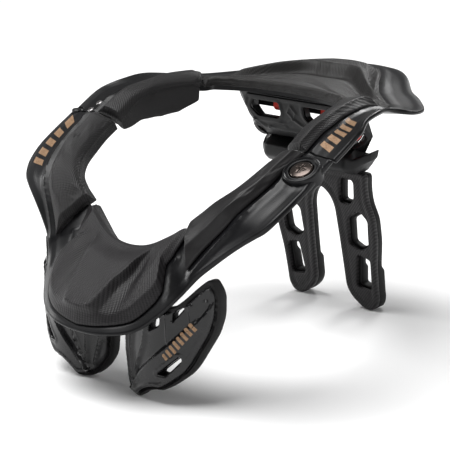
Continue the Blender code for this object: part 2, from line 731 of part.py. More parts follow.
def tray_floor(y):
    """Height of the lower frame's sloping floor."""
    front, back = FRAME_FRONT_Y + FRAME_FOOT_LEAN, FRAME_BACK_Y + FRAME_BACK_LEAN
    return FRAME_FRONT_FOOT_Z + (FRAME_BACK_FOOT_Z - FRAME_FRONT_FOOT_Z) * (y - front) / (back - front)


def tray_section(x, half_width, front, back, wall, roof):
    """A slanted box section of the lower frame at one x, with its low side edges chamfered."""
    steps = 4
    loop = []
    for k in range(steps + 1):
        y = front + (back - front) * k / steps
        loop.append(Vector((x, y, roof(x, y))))
    low = math.copysign(min(abs(x), half_width - FRAME_CHAMFER), x)
    rise = abs(x) - abs(low)
    for side, y, lift in ((x, back + FRAME_BACK_LEAN - FRAME_BACK_TUCK, rise * 0.95),
                          (low, back + FRAME_BACK_LEAN, 0.0), (low, front + FRAME_FOOT_LEAN, 0.0),
                          (x, front + FRAME_LEAN, rise + FRAME_FRONT_LIFT),
                          (x, front + FRAME_FACE_LEAN, FRAME_FACE_RISE)):
        loop.append(Vector((side, y, tray_floor(y) + lift + wall)))
    return loop


def build_frame():
    """The tray under the rear table, with adjuster windows in front and a recess on each side."""

    def roof(x, y):
        guess = (REAR_MIDDLE - 7.0 * x / HALF_WIDTH, 0.3)
        return height_under(REAR_RING, rear_crown, guess, x, y) - 2 * CLEARANCE

    def high_roof(x, y):
        return roof(x, y) + HOLLOW_RAISE

    loops = []
    for x in (-1.0, -0.88, -0.75, -0.4, 0.0, 0.4, 0.75, 0.88, 1.0):
        trim = FRAME_CORNER if abs(x) == 1.0 else 0.0
        loops.append(tray_section(x * FRAME_HALF_WIDTH, FRAME_HALF_WIDTH, FRAME_FRONT_Y + trim,
                                  FRAME_BACK_Y, 0.0, roof))
    frame = sweep("rear_lower_frame", loops, shell_black())
    inner = FRAME_HALF_WIDTH - FRAME_WALL
    loops = []
    for x in (-1.0, -0.75, 0.75, 1.0):
        loops.append(tray_section(x * inner, inner, FRAME_FRONT_Y + FRAME_WALL, FRAME_BACK_Y + HOLLOW_REACH,
                                  FRAME_WALL, high_roof))
    subtract(frame, sweep("frame_hollow", loops, shell_black()))
    middle = (WINDOW_LOW_Z + WINDOW_HIGH_Z) / 2
    half_height = (WINDOW_HIGH_Z - WINDOW_LOW_Z) / 2
    for name, side in (("left", 1), ("right", -1)):
        window = []
        for y in (FRAME_FRONT_Y - FRAME_WALL, FRAME_FRONT_Y + FRAME_WALL + WINDOW_CUT_DEPTH):
            window.append([Vector((side * u, y, v)) for u, v in (
                (WINDOW_INNER_X, middle + half_height), (WINDOW_OUTER_X - WINDOW_CORNER, middle + half_height),
                (WINDOW_OUTER_X, middle), (WINDOW_OUTER_X - 1.5 * WINDOW_CORNER, middle - half_height),
                (WINDOW_INNER_X + WINDOW_CORNER, middle - half_height), (WINDOW_INNER_X, middle - WINDOW_CORNER / 2))])
        subtract(frame, sweep("frame_window_" + name, window, shell_black()))
        build_adjuster(frame, name, side)
    reach = inner - 2 * CLEARANCE
    turned("adjuster_pin", ((PIN_RADIUS, -reach), (PIN_RADIUS, reach)), (0, PIN_Y, PIN_Z), (1, 0, 0),
           shell_black(), sides=14)


def build_adjuster(frame, name, side):
    """A red collar on the cross pin behind a window, and the red lever in the side recess."""
    bore = PIN_RADIUS + CLEARANCE
    turned("adjuster_collar_" + name, (
        (bore, COLLAR_X - COLLAR_LENGTH / 2), (COLLAR_RADIUS, COLLAR_X - COLLAR_LENGTH / 2),
        (COLLAR_RADIUS, COLLAR_X + COLLAR_LENGTH / 2), (bore, COLLAR_X + COLLAR_LENGTH / 2),
        (bore, COLLAR_X - COLLAR_LENGTH / 2)), (0, PIN_Y, PIN_Z), (side, 0, 0), accent_red(), sides=16)
    rise = 1.3 * FRAME_CHAMFER
    outward = Vector((side * rise, 0, -FRAME_CHAMFER)).normalized()
    uphill = Vector((side * FRAME_CHAMFER, 0, rise)).normalized()
    tilt = math.radians(LEVER_TILT)
    along = Vector((0, math.cos(tilt), 0)) + uphill * math.sin(tilt)
    across = outward.cross(along)
    centre = Vector((side * (FRAME_HALF_WIDTH - FRAME_CHAMFER * (1 - LEVER_HEIGHT_SHARE)), LEVER_Y,
                     tray_floor(LEVER_Y) + rise * LEVER_HEIGHT_SHARE))
    well_radius = LEVER_LENGTH / 2 + LEVER_WELL_MARGIN
    subtract(frame, turned("lever_recess_" + name, ((well_radius, -RECESS_DEPTH), (well_radius, 8.0)),
                           centre, outward, shell_black(), sides=12))
    half = [(-0.5, 0.0), (-0.3, 0.5), (0.36, 0.5), (0.5, 0.2)]
    outline = half + [(u, -v) for u, v in half[::-1] if v]
    loops = []
    for reach, shrink in ((CLEARANCE - RECESS_DEPTH, 1.0), (LEVER_PROUD - 1.0, 1.0), (LEVER_PROUD, 0.86)):
        loops.append([centre + outward * reach + along * (u * LEVER_LENGTH * shrink)
                      + across * (v * LEVER_WIDTH * shrink) for u, v in outline])
    sweep("adjuster_lever_" + name, loops, accent_red())


def clear_scene():
    for old in list(bpy.data.objects):
        bpy.data.objects.remove(old)


def seat_origin():
    """Move every piece so that the origin is under the middle of the whole, on the floor."""
    low = Vector((math.inf, math.inf, math.inf))
    high = -low
    pieces = [piece for piece in bpy.data.objects if not piece.hide_render]
    for piece in pieces:
        for vertex in piece.data.vertices:
            for axis in range(3):
                low[axis] = min(low[axis], vertex.co[axis])
                high[axis] = max(high[axis], vertex.co[axis])
    shift = Vector((-(low.x + high.x) / 2, -(low.y + high.y) / 2, -low.z))
    for piece in bpy.data.objects:
        piece.location += shift
    return shift


def main():
    clear_scene()
    front, rear = build_collar()
    build_closure(front)
    build_hinge(front, rear)
    build_flaps()
    build_frame()
    build_saddle()
    build_strut()
    return seat_origin()


ORIGIN_SHIFT = main()
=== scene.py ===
"""Looks of the motocross neck brace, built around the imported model.

Sizes are in millimetres until place() turns them into metres in the row's frame.
+Z is up, the wearer faces -Y and the wearer's left is +X.
"""
import math

import bmesh
import bpy
import numpy as np
from mathutils import Matrix, Vector
from mathutils.geometry import delaunay_2d_cdt


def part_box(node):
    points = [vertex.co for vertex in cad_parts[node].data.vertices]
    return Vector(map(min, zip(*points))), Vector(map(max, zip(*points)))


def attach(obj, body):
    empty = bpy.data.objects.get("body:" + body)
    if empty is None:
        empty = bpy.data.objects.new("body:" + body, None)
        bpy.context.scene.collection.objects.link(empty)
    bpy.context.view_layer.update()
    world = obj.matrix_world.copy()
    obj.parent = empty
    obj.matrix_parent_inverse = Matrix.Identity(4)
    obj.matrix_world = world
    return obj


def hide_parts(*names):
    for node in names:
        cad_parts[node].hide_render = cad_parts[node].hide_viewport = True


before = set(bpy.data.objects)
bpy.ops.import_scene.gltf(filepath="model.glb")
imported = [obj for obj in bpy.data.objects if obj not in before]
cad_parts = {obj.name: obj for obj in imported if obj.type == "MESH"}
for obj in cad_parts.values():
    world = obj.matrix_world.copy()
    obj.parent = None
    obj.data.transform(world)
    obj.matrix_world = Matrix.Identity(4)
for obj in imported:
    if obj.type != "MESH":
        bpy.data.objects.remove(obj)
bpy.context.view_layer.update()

MM = 0.001

# Sizes of the collar, as in the solids
HALF_WIDTH = 140.0
FRONT_REACH = 167.0
REAR_REACH = 197.0
HEIGHT = 211.0
PAD_THICKNESS = 7.0
PAD_WALL = 6.0
SHELL_INNER_DEPTH = 6.0
SHELL_OUTER_DEPTH = 3.0
ARM_CROWN = 5.0
TABLE_CROWN = 1.0
FRONT_PAD_DROP = 6.0
REAR_PAD_DROP = 22.0
FOOT_Z = 3.0

# The shift from the tables' own origin to the row's origin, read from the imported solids
ORIGIN_SHIFT = Vector((0.0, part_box("rear_chassis")[1].y / MM - REAR_REACH, -FOOT_Z))

# Half of the front ring, from the split to the front lip. Columns: rim x, y, z, edge x, y, z,
# as shares of HALF_WIDTH, -FRONT_REACH and HEIGHT.
FRONT_STATIONS = (
    (0.650, 0.222, 0.880, 0.991, 0.230, 0.876),
    (0.640, 0.305, 0.850, 0.996, 0.359, 0.815),
    (0.622, 0.388, 0.812, 0.986, 0.464, 0.766),
    (0.592, 0.480, 0.771, 0.959, 0.550, 0.717),
    (0.530, 0.556, 0.730, 0.919, 0.601, 0.676),
    (0.460, 0.590, 0.685, 0.861, 0.629, 0.646),
    (0.386, 0.598, 0.645, 0.767, 0.659, 0.599),
    (0.336, 0.600, 0.620, 0.667, 0.689, 0.542),
    (0.286, 0.610, 0.597, 0.585, 0.720, 0.490),
    (0.232, 0.624, 0.576, 0.514, 0.773, 0.422),
    (0.178, 0.636, 0.557, 0.444, 0.850, 0.355),
    (0.120, 0.645, 0.543, 0.345, 0.925, 0.300),
    (0.060, 0.650, 0.536, 0.190, 0.985, 0.278),
    (0.000, 0.652, 0.534, 0.000, 1.000, 0.270),
)
# Half of the rear ring, from the split round the wing to the middle of the back.
REAR_STATIONS = (
    (0.638, -0.160, 0.883, 1.000, -0.176, 0.876),
    (0.636, -0.120, 0.905, 1.003, -0.118, 0.906),
    (0.641, -0.068, 0.940, 1.001, -0.060, 0.936),
    (0.640, -0.013, 0.961, 0.990, -0.008, 0.957),
    (0.629, 0.065, 0.978, 0.945, 0.068, 0.981),
    (0.586, 0.166, 0.987, 0.915, 0.173, 0.993),
    (0.525, 0.254, 0.990, 0.862, 0.294, 0.982),
    (0.496, 0.282, 0.992, 0.921, 0.381, 0.966),
    (0.466, 0.306, 0.998, 0.907, 0.467, 0.958),
    (0.421, 0.322, 0.998, 0.836, 0.548, 0.957),
    (0.364, 0.337, 0.998, 0.714, 0.637, 0.966),
    (0.300, 0.347, 0.998, 0.600, 0.701, 0.977),
    (0.221, 0.356, 0.998, 0.421, 0.845, 0.999),
    (0.143, 0.360, 0.998, 0.271, 0.939, 1.005),
    (0.071, 0.363, 0.998, 0.139, 0.982, 1.005),
    (0.000, 0.363, 0.998, 0.000, 1.000, 1.005),
)

# Pad borders as shares of the ring's width, by station, and the pads' slanted ends.
FRONT_ARM_PAD_BORDER = ((0, 0.48), (1, 0.43), (2, 0.45), (3, 0.44), (4, 0.48), (5, 0.56), (8.5, 0.83))
FRONT_ARM_PAD_END = ((0.0, 6.0), (0.45, 7.3), (1.0, 8.3))
FRONT_CENTRE_PAD_BORDER = (
    (6.5, 0.10), (7.5, 0.22), (8.6, 0.40), (9.2, 0.46), (9.6, 0.78), (10, 0.84), (11, 0.90), (13, 0.95))
FRONT_CENTRE_PAD_END = ((0.0, 6.55), (1.0, 6.8))
REAR_ARM_PAD_BORDER = ((0, 0.45), (2, 0.42), (4, 0.43), (5, 0.50), (6, 0.60), (8, 0.60))
REAR_ARM_PAD_DROP = ((0, 0.35), (2, 0.72), (4, 1.0), (5, 0.95), (6, 0.55), (7, 0.25))
REAR_SEAM = ((0.0, 6.25), (0.25, 7.1), (0.5, 7.9), (0.75, 7.5), (1.0, 7.0))
REAR_SEAM_HALF_GAP = 0.24
REAR_CENTRE_PAD_BORDER = (
    (6, 0.62), (8, 0.62), (9, 0.60), (10, 0.60), (11, 0.64), (12, 0.70), (13, 0.80), (14, 0.90),
    (15, 0.91))

# Raised field of the front centre pad: its half width in stations, by share of the pad's depth.
PLATEAU_HALF_WIDTH = ((0.0, 4.2), (0.28, 2.15), (0.55, 1.2), (0.85, 0.72), (1.0, 0.55))
PLATEAU_END = 0.86
# Raised chevron of the rear centre pad: its front edge by station, and how it fades on its legs.
CHEVRON_FRONT = (
    (7.5, 0.92), (9.3, 0.86), (10.5, 0.74), (11.7, 0.66), (13, 0.62), (14.2, 0.53), (15, 0.50))
CHEVRON_FADE = ((8, 0.30), (10, 0.45), (11, 0.65), (12, 0.9), (13, 1.0))


def blend(table, key):
    """Value of a two-column table at a key, straight between its rows."""
    if key <= table[0][0]:
        return table[0][1]
    for (low, first), (high, last) in zip(table, table[1:]):
        if key <= high:
            return first + (last - first) * (key - low) / (high - low)
    return table[-1][1]


def soft_step(value):
    """A smooth step from 0 to 1."""
    value = max(0.0, min(1.0, value))
    return value * value * (3 - 2 * value)


def bump(distance, width):
    """A smooth bell of height 1 over a distance of zero."""
    return math.exp(-(distance / width) ** 2)


def fillet(distance, radius):
    """How far a rounded border lies under its face at a distance from the border."""
    if distance >= radius:
        return 0.0
    return radius - math.sqrt(max(0.0, radius ** 2 - (radius - max(0.0, distance)) ** 2))


def circle(radius, count):
    """Points of a circle round the origin."""
    return [(radius * math.cos(2 * math.pi * k / count), radius * math.sin(2 * math.pi * k / count))
            for k in range(count)]


def place(point):
    """A point of the tables, in millimetres, as a point of the row's frame in metres."""
    return (Vector(point) + ORIGIN_SHIFT) * MM


class Ring:
    """Half of the collar as a ruled band between its rim and its edge, over stations."""

    def __init__(self, stations, reach):
        scale = (HALF_WIDTH, reach, HEIGHT)
        half = [tuple(Vector([v * k for v, k in zip(row[i:i + 3], scale)]) for i in (0, 3))
                for row in stations]
        mirrored = [tuple(Vector((-p.x, p.y, p.z)) for p in pair) for pair in half[-2::-1]]
        self.rows = half + mirrored
        self.middle = len(stations) - 1
        self.last = len(self.rows) - 1
        self.frames = {}

    def pair(self, station):
        """Rim and edge at any station, on a Catmull-Rom curve through the rows."""
        index = max(0, min(int(station), self.last - 1))
        t = station - index
        rows = [self.rows[max(0, min(self.last, index + k))] for k in (-1, 0, 1, 2)]
        points = []
        for side in (0, 1):
            a, b, c, d = (row[side] for row in rows)
            points.append(0.5 * ((2 * b) + (c - a) * t + (2 * a - 5 * b + 4 * c - d) * t * t
                                 + (3 * b - a - 3 * c + d) * t ** 3))
        return points

    def frame(self, station):
        """Rim, edge and the unit normal of the band's face at a station."""
        key = round(station, 4)
        if key not in self.frames:
            rim, edge = self.pair(key)
            before = self.pair(max(0, key - 0.25))
            after = self.pair(min(self.last, key + 0.25))
            along = (after[0] + after[1]) - (before[0] + before[1])
            normal = (edge - rim).cross(along).normalized()
            if normal.z < 0:
                normal.negate()
            self.frames[key] = (rim, edge, normal)
        return self.frames[key]

    def folded(self, station):
        """The same station on the table's own half."""
        return self.middle - abs(station - self.middle)

    def crown(self, station):
        """Rise of the shell's face over its straight seat."""
        if self is FRONT:
            return ARM_CROWN
        away = abs(station - self.middle)
        return blend(((0, TABLE_CROWN), (11, TABLE_CROWN), (14, ARM_CROWN)), away)

    def width(self, station):
        """Length of the band's straight seat from rim to edge."""
        rim, edge, normal = self.frame(station)
        return (edge - rim + normal * PAD_THICKNESS).length

    def seat(self, station, share):
        """A point of the band's straight seat, which lies under the crown of the shell's face."""
        rim, edge, normal = self.frame(station)
        return (rim - normal * PAD_THICKNESS).lerp(edge, share)

    def point(self, station, share, height):
        """A point at a share of the way from rim to edge, at a height over the shell's face."""
        arch = self.crown(station) * 4 * max(0.0, share) * max(0.0, 1 - share)
        return self.seat(station, share) + self.frame(station)[2] * (arch + height)

    def under(self, guess, x, y):
        """Height of the shell's underside over a place in plan, found by Newton steps."""

        def below(station, share):
            depth = SHELL_INNER_DEPTH + (SHELL_OUTER_DEPTH - SHELL_INNER_DEPTH) * share
            return self.point(station, share, -depth)

        station, share = guess
        step = 0.02
        for _ in range(25):
            here = below(station, share)
            by_station = below(station + step, share)
            by_share = below(station, share + step)
            slope = Matrix(((by_station.x - here.x, by_share.x - here.x),
                            (by_station.y - here.y, by_share.y - here.y))) * (1 / step)
            move = slope.inverted() @ Vector((x - here.x, y - here.y))
            station = min(self.last - step, max(0.0, station + max(-1.0, min(1.0, move.x))))
            share = min(0.99, max(0.01, share + max(-0.2, min(0.2, move.y))))
        return below(station, share).z

    def run(self, station):
        """Length in millimetres along the middle of the band from the first row."""
        steps = max(1, int(station * 4))
        points = [self.point(station * k / steps, 0.4, 0.0) for k in range(steps + 1)]
        return sum((b - a).length for a, b in zip(points, points[1:]))


FRONT = Ring(FRONT_STATIONS, -FRONT_REACH)
REAR = Ring(REAR_STATIONS, REAR_REACH)


# Materials


class Nodes:
    """A material's node tree with short calls for the few nodes used here."""

    def __init__(self, name):
        self.material = bpy.data.materials.new(name)
        self.material.use_nodes = True
        self.tree = self.material.node_tree
        self.shader = self.tree.nodes["Principled BSDF"]

    def node(self, kind, **values):
        made = self.tree.nodes.new(kind)
        for key, value in values.items():
            if hasattr(made, key):
                setattr(made, key, value)
            else:
                made.inputs[key].default_value = value
        return made

    def link(self, source, target):
        self.tree.links.new(source, target)

    def coordinates(self, attribute=None):
        if attribute:
            return self.node("ShaderNodeAttribute", attribute_name=attribute).outputs["Vector"]
        return self.node("ShaderNodeTexCoord").outputs["Object"]

    def noise(self, vector, scale, detail=3.0):
        made = self.node("ShaderNodeTexNoise")
        made.inputs["Scale"].default_value = scale
        made.inputs["Detail"].default_value = detail
        self.link(vector, made.inputs["Vector"])
        return made.outputs["Fac"]

    def maths(self, operation, first, second=None):
        made = self.node("ShaderNodeMath", operation=operation)
        for socket, value in zip(made.inputs, (first, second)):
            if value is None:
                continue
            if isinstance(value, (int, float)):
                socket.default_value = value
            else:
                self.link(value, socket)
        return made.outputs[0]

    def mapped(self, value, low, high, to_low=0.0, to_high=1.0):
        made = self.node("ShaderNodeMapRange")
        for name, number in (("From Min", low), ("From Max", high),
                             ("To Min", to_low), ("To Max", to_high)):
            made.inputs[name].default_value = number
        self.link(value, made.inputs["Value"])
        return made.outputs["Result"]

    def mix(self, factor, first, second):
        made = self.node("ShaderNodeMix", data_type="RGBA")
        self.link(factor, made.inputs["Factor"])
        for socket, colour in ((made.inputs[6], first), (made.inputs[7], second)):
            if isinstance(colour, tuple):
                socket.default_value = (*colour, 1.0)
            else:
                self.link(colour, socket)
        return made.outputs[2]

    def bump(self, height, strength, distance):
        made = self.node("ShaderNodeBump")
        made.inputs["Strength"].default_value = strength
        made.inputs["Distance"].default_value = distance
        self.link(height, made.inputs["Height"])
        self.link(made.outputs["Normal"], self.shader.inputs["Normal"])

    def paint(self, factor, first, second):
        """Mix two colours into the base colour."""
        self.link(self.mix(factor, first, second), self.shader.inputs["Base Color"])

    def rotated(self, vector, axis, degrees):
        """The coordinates turned about an axis."""
        made = self.node("ShaderNodeVectorRotate", rotation_type=axis)
        made.inputs["Angle"].default_value = math.radians(degrees)
        self.link(vector, made.inputs["Vector"])
        return made.outputs["Vector"]

    def wave(self, value, pitch):
        """A wave between 0 and 1 along a value."""
        return self.mapped(self.maths("SINE", self.maths("MULTIPLY", value, 2 * math.pi / pitch)), -1.0, 1.0)

    def set(self, **values):
        for key, value in values.items():
            self.shader.inputs[key.replace("_", " ")].default_value = value


def moulded(name, dark, light, roughness, grain=0.05, coat=0.0, specular=0.25):
    """Moulded plastic with a fine grain, faint scuffs and a slight change of gloss."""
    nodes = Nodes(name)
    where = nodes.coordinates()
    cloud = nodes.noise(where, 22.0)
    fine = nodes.noise(where, 900.0, 2.0)
    scuff = nodes.mapped(nodes.noise(where, 130.0, 6.0), 0.60, 0.75)
    tone = nodes.mix(nodes.mapped(cloud, 0.35, 0.65), dark, light)
    lighter = tuple(min(1.0, v * 1.6 + 0.01) for v in light)
    nodes.paint(nodes.maths("MULTIPLY", scuff, 0.35), tone, lighter)
    gloss = nodes.maths("ADD", nodes.mapped(cloud, 0.3, 0.7, roughness - 0.05, roughness + 0.07),
                        nodes.maths("MULTIPLY", fine, 0.06))
    nodes.link(gloss, nodes.shader.inputs["Roughness"])
    nodes.bump(fine, grain, 0.0004)
    nodes.set(Coat_Weight=coat, Coat_Roughness=0.25, Specular_IOR_Level=specular)
    return nodes.material


def ribbed(name, angle, pitch, dark, light, cross, depth):
    """A foam pad's skin with fine woven ribs at an angle to the piece's own length."""
    nodes = Nodes(name)
    parts = nodes.node("ShaderNodeSeparateXYZ")
    nodes.link(nodes.rotated(nodes.coordinates("weave"), "Z_AXIS", angle), parts.inputs["Vector"])
    rib = nodes.wave(parts.outputs["X"], pitch)
    thread = nodes.maths("MULTIPLY", nodes.wave(parts.outputs["Y"], pitch * 0.8), cross)
    weave = nodes.maths("ADD", nodes.maths("MULTIPLY", rib, 1.0 - cross), thread)
    solid = nodes.coordinates()
    fibre = nodes.noise(solid, 1400.0, 2.0)
    cloud = nodes.noise(solid, 35.0)
    height = nodes.maths("ADD", weave, nodes.maths("MULTIPLY", fibre, 0.35))
    worn = nodes.mapped(cloud, 0.3, 0.7, 0.75, 1.0)
    # Painted shade and highlight of the weave: the colour follows the ribs' height, darker in the grooves
    # and lighter on the crests, times a random tone.
    nodes.paint(nodes.maths("MULTIPLY", nodes.mapped(height, 0.2, 1.2), worn), dark, light)
    nodes.link(nodes.mapped(cloud, 0.3, 0.7, 0.42, 0.56), nodes.shader.inputs["Roughness"])
    nodes.bump(height, 0.7, depth)
    nodes.set(Sheen_Weight=0.03, Sheen_Roughness=0.4, Specular_IOR_Level=0.3)
    return nodes.material


def checked(name):
    """Moulded plastic with a bold woven check, as on the dish beside the lever."""
    nodes = Nodes(name)
    where = nodes.coordinates()
    check = nodes.node("ShaderNodeTexChecker")
    check.inputs["Scale"].default_value = 150.0
    check.inputs["Color1"].default_value = (0.012, 0.012, 0.013, 1)
    check.inputs["Color2"].default_value = (0.060, 0.055, 0.055, 1)
    nodes.link(nodes.rotated(where, "X_AXIS", 38.0), check.inputs["Vector"])
    cloud = nodes.noise(where, 60.0)
    nodes.paint(nodes.mapped(cloud, 0.35, 0.75), check.outputs["Color"], (0.010, 0.010, 0.011))
    nodes.bump(check.outputs["Fac"], 0.3, 0.0004)
    nodes.set(Roughness=0.3, Coat_Weight=0.3, Coat_Roughness=0.15)
    return nodes.material


def metallic(name, colour, roughness):
    """Polished or printed metal with faint brushing."""
    nodes = Nodes(name)
    where = nodes.coordinates()
    streak = nodes.noise(where, 500.0, 4.0)
    nodes.paint(nodes.mapped(streak, 0.3, 0.7), tuple(v * 0.85 for v in colour), colour)
    nodes.link(nodes.mapped(streak, 0.3, 0.7, roughness, roughness + 0.08), nodes.shader.inputs["Roughness"])
    nodes.bump(streak, 0.08, 0.0002)
    nodes.set(Metallic=0.9)
    return nodes.material


def bronze_print(name):
    """A matt bronze print with a fine speckle."""
    nodes = Nodes(name)
    where = nodes.coordinates()
    speck = nodes.noise(where, 700.0, 3.0)
    nodes.paint(nodes.mapped(speck, 0.35, 0.65), (0.22, 0.125, 0.062), (0.31, 0.19, 0.105))
    nodes.bump(speck, 0.1, 0.0002)
    nodes.set(Roughness=0.5, Metallic=0.25)
    return nodes.material


SHELL = moulded("shell_satin_black", (0.003, 0.003, 0.0035), (0.006, 0.006, 0.007), 0.32)
FLAP_SHELL = moulded("flap_gloss_black", (0.004, 0.004, 0.0045), (0.009, 0.0085, 0.0095), 0.24,
                     coat=0.20, specular=0.35)
FRAME_BLACK = moulded("frame_matt_black", (0.0035, 0.0035, 0.004), (0.008, 0.008, 0.0085), 0.40, 0.12)
FOAM_EDGE = moulded("foam_edge", (0.004, 0.0038, 0.004), (0.008, 0.0075, 0.008), 0.55, 0.25)
ARM_FOAM = ribbed("arm_twill", 62.0, 0.0015, (0.003, 0.0028, 0.003), (0.017, 0.0155, 0.0165), 0.30, 0.0003)
CENTRE_FOAM = ribbed("centre_rib", 0.0, 0.0017, (0.0035, 0.0032, 0.0035), (0.021, 0.019, 0.021),
                     0.35, 0.0003)
REAR_FOAM = ribbed("rear_twill", 40.0, 0.0014, (0.004, 0.0037, 0.0035), (0.017, 0.0155, 0.0148),
                   0.35, 0.0003)
STRUT_FOAM = ribbed("strut_rib", 38.0, 0.0020, (0.0035, 0.0032, 0.0035), (0.024, 0.022, 0.024),
                    0.12, 0.0004)
RED = moulded("red_nylon", (0.62, 0.035, 0.025), (0.75, 0.060, 0.045), 0.35)
CHROME = metallic("dark_chrome", (0.085, 0.068, 0.06), 0.20)
STEEL = metallic("screw_steel", (0.30, 0.29, 0.29), 0.3)
BRONZE = bronze_print("bronze_print")
CHECK = checked("carbon_check")


# Mesh making


def make_object(name, bm, finish, weave=None, smooth_angle=40.0):
    """Turn a bmesh in millimetres of the tables into an object in the row's frame."""
    for vertex in bm.verts:
        vertex.co = place(vertex.co)
    bmesh.ops.recalc_face_normals(bm, faces=bm.faces)
    mesh = bpy.data.meshes.new(name)
    bm.to_mesh(mesh)
    bm.free()
    mesh.shade_smooth()
    mesh.set_sharp_from_angle(angle=math.radians(smooth_angle))
    mesh.materials.append(finish)
    if weave is not None:
        layer = mesh.attributes.new("weave", "FLOAT_VECTOR", "POINT")
        layer.data.foreach_set("vector", np.array(weave, np.float32).ravel() * MM)
    made = bpy.data.objects.new(name, mesh)
    bpy.context.scene.collection.objects.link(made)
    return made


def apply_modifiers(piece):
    """Bake a piece's modifiers into its mesh."""
    graph = bpy.context.evaluated_depsgraph_get()
    baked = bpy.data.meshes.new_from_object(piece.evaluated_get(graph), depsgraph=graph)
    old = piece.data
    piece.modifiers.clear()
    piece.data = baked
    bpy.data.meshes.remove(old)


def skin(name, loops, finish, weave=None):
    """A closed surface through loops of equal point counts with filled ends."""
    bm = bmesh.new()
    rings = [[bm.verts.new(point) for point in loop] for loop in loops]
    for first, second in zip(rings, rings[1:]):
        count = len(first)
        for k in range(count):
            j = (k + 1) % count
            bm.faces.new((first[k], first[j], second[j], second[k]))
    bm.faces.new(rings[0])
    bm.faces.new(rings[-1])
    return make_object(name, bm, finish, weave)


def finish_piece(piece, body, slot, *nodes):
    """Ride a piece on its body and hide the nodes that it replaces; the slot is not used."""
    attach(piece, body)
    if nodes:
        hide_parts(*nodes)
    return piece


def turned(name, profile, centre, axis, finish, sides=48):
    """A solid of revolution from (radius, distance along the axis) rows, in the tables' millimetres."""
    turn = Vector((0, 0, 1)).rotation_difference(Vector(axis)).to_matrix()
    loops = [[Vector(centre) + turn @ Vector((x, y, along)) for x, y in circle(radius, sides)]
             for radius, along in profile]
    return skin(name, loops, finish)


# The moulded shells of the collar

HOUSING_STATION = 0.85
HOUSING_SHARE = 0.72
HOUSING_RADIUS = 14.5
SHELL_ROW_STEP = 0.125
SHELL_EDGE_RADIUS = 1.4
SHELL_COLUMNS = 40
SPLIT_REACH = 0.12


BOSS_HEIGHT = 1.0
BOSS_FALL = 4.0
BOSS_LAST_STATION = 4.0
BEAD_HEIGHT = 1.3
BEAD_WIDTH = 1.9
BEAD_SETBACK = 5.0
ROLL_HEIGHT = 0.8
ROLL_WIDTH = 1.6
ROLL_SETBACK = 2.0
DISH_DEPTH = 0.9
DISH_SETBACK = 4.0
DISH_FALL = 6.0
UNDER_PAD_DROP = 0.8


def boss(ring, station, share):
    """The soft rise of the front shell round the latch housing."""
    if ring is not FRONT or station > BOSS_LAST_STATION:
        return 0.0
    away = (ring.seat(station, share) - ring.seat(HOUSING_STATION, HOUSING_SHARE)).length
    return BOSS_HEIGHT * (1.0 - soft_step((away - HOUSING_RADIUS) / BOSS_FALL))


def shell_relief(ring, station, share):
    """Height of the shell's face over its plain crown: a bead along the pads and a rolled edge."""
    folded = ring.folded(station)
    width = ring.width(station)
    if ring is FRONT:
        border = blend(FRONT_ARM_PAD_BORDER if folded < 8.3 else FRONT_CENTRE_PAD_BORDER, folded)
        strength = 1.0 - soft_step(folded - 8.0)
    else:
        border = blend(REAR_ARM_PAD_BORDER if folded < 7.0 else REAR_CENTRE_PAD_BORDER, folded)
        strength = 1.0 - soft_step(folded - 6.5)
    from_pad = (share - border) * width
    bead = BEAD_HEIGHT * strength * bump(from_pad - BEAD_SETBACK, BEAD_WIDTH)
    from_edge = (1.0 - share) * width
    rolled = ROLL_HEIGHT * strength * bump(from_edge - ROLL_SETBACK, ROLL_WIDTH)
    dish = DISH_DEPTH * (soft_step((from_pad - BEAD_SETBACK) / DISH_FALL)
                         * soft_step((from_edge - DISH_SETBACK) / DISH_FALL))
    hidden = UNDER_PAD_DROP * (1.0 - soft_step((from_pad + 1.0) / 2.0))
    return bead + rolled - dish - hidden + boss(ring, station, share)


def shell(name, ring, first, last):
    """A moulded shell with rounded edges, over a range of stations."""
    loops = []
    count = int(round((last - first) / SHELL_ROW_STEP))
    for k in range(count + 1):
        station = first + (last - first) * k / count
        width = ring.width(station)
        start = (PAD_WALL + 1.0) / width
        end_fall = fillet(min(k, count - k) * SHELL_ROW_STEP * 12.0, 1.2)
        top = []
        bottom = []
        for column in range(SHELL_COLUMNS + 1):
            part = 0.5 - 0.5 * math.cos(math.pi * column / SHELL_COLUMNS)
            share = start + (1 - start) * part
            depth = SHELL_INNER_DEPTH + (SHELL_OUTER_DEPTH - SHELL_INNER_DEPTH) * share
            from_edge = (1 - share) * width
            fall = max(fillet(from_edge, SHELL_EDGE_RADIUS), end_fall)
            top.append(ring.point(station, share, shell_relief(ring, station, share) - fall))
            bottom.append(ring.point(station, share, -depth + fall))
        loops.append(top + bottom[::-1])
    return skin(name, loops, SHELL)


# The pads of the collar

PAD_COLUMNS = 60
PAD_EDGE_RADIUS = 4.0
PAD_SLOPE = 9.0
PAD_SLOPE_DROP = 4.6
PAD_END_SHARE = 0.6


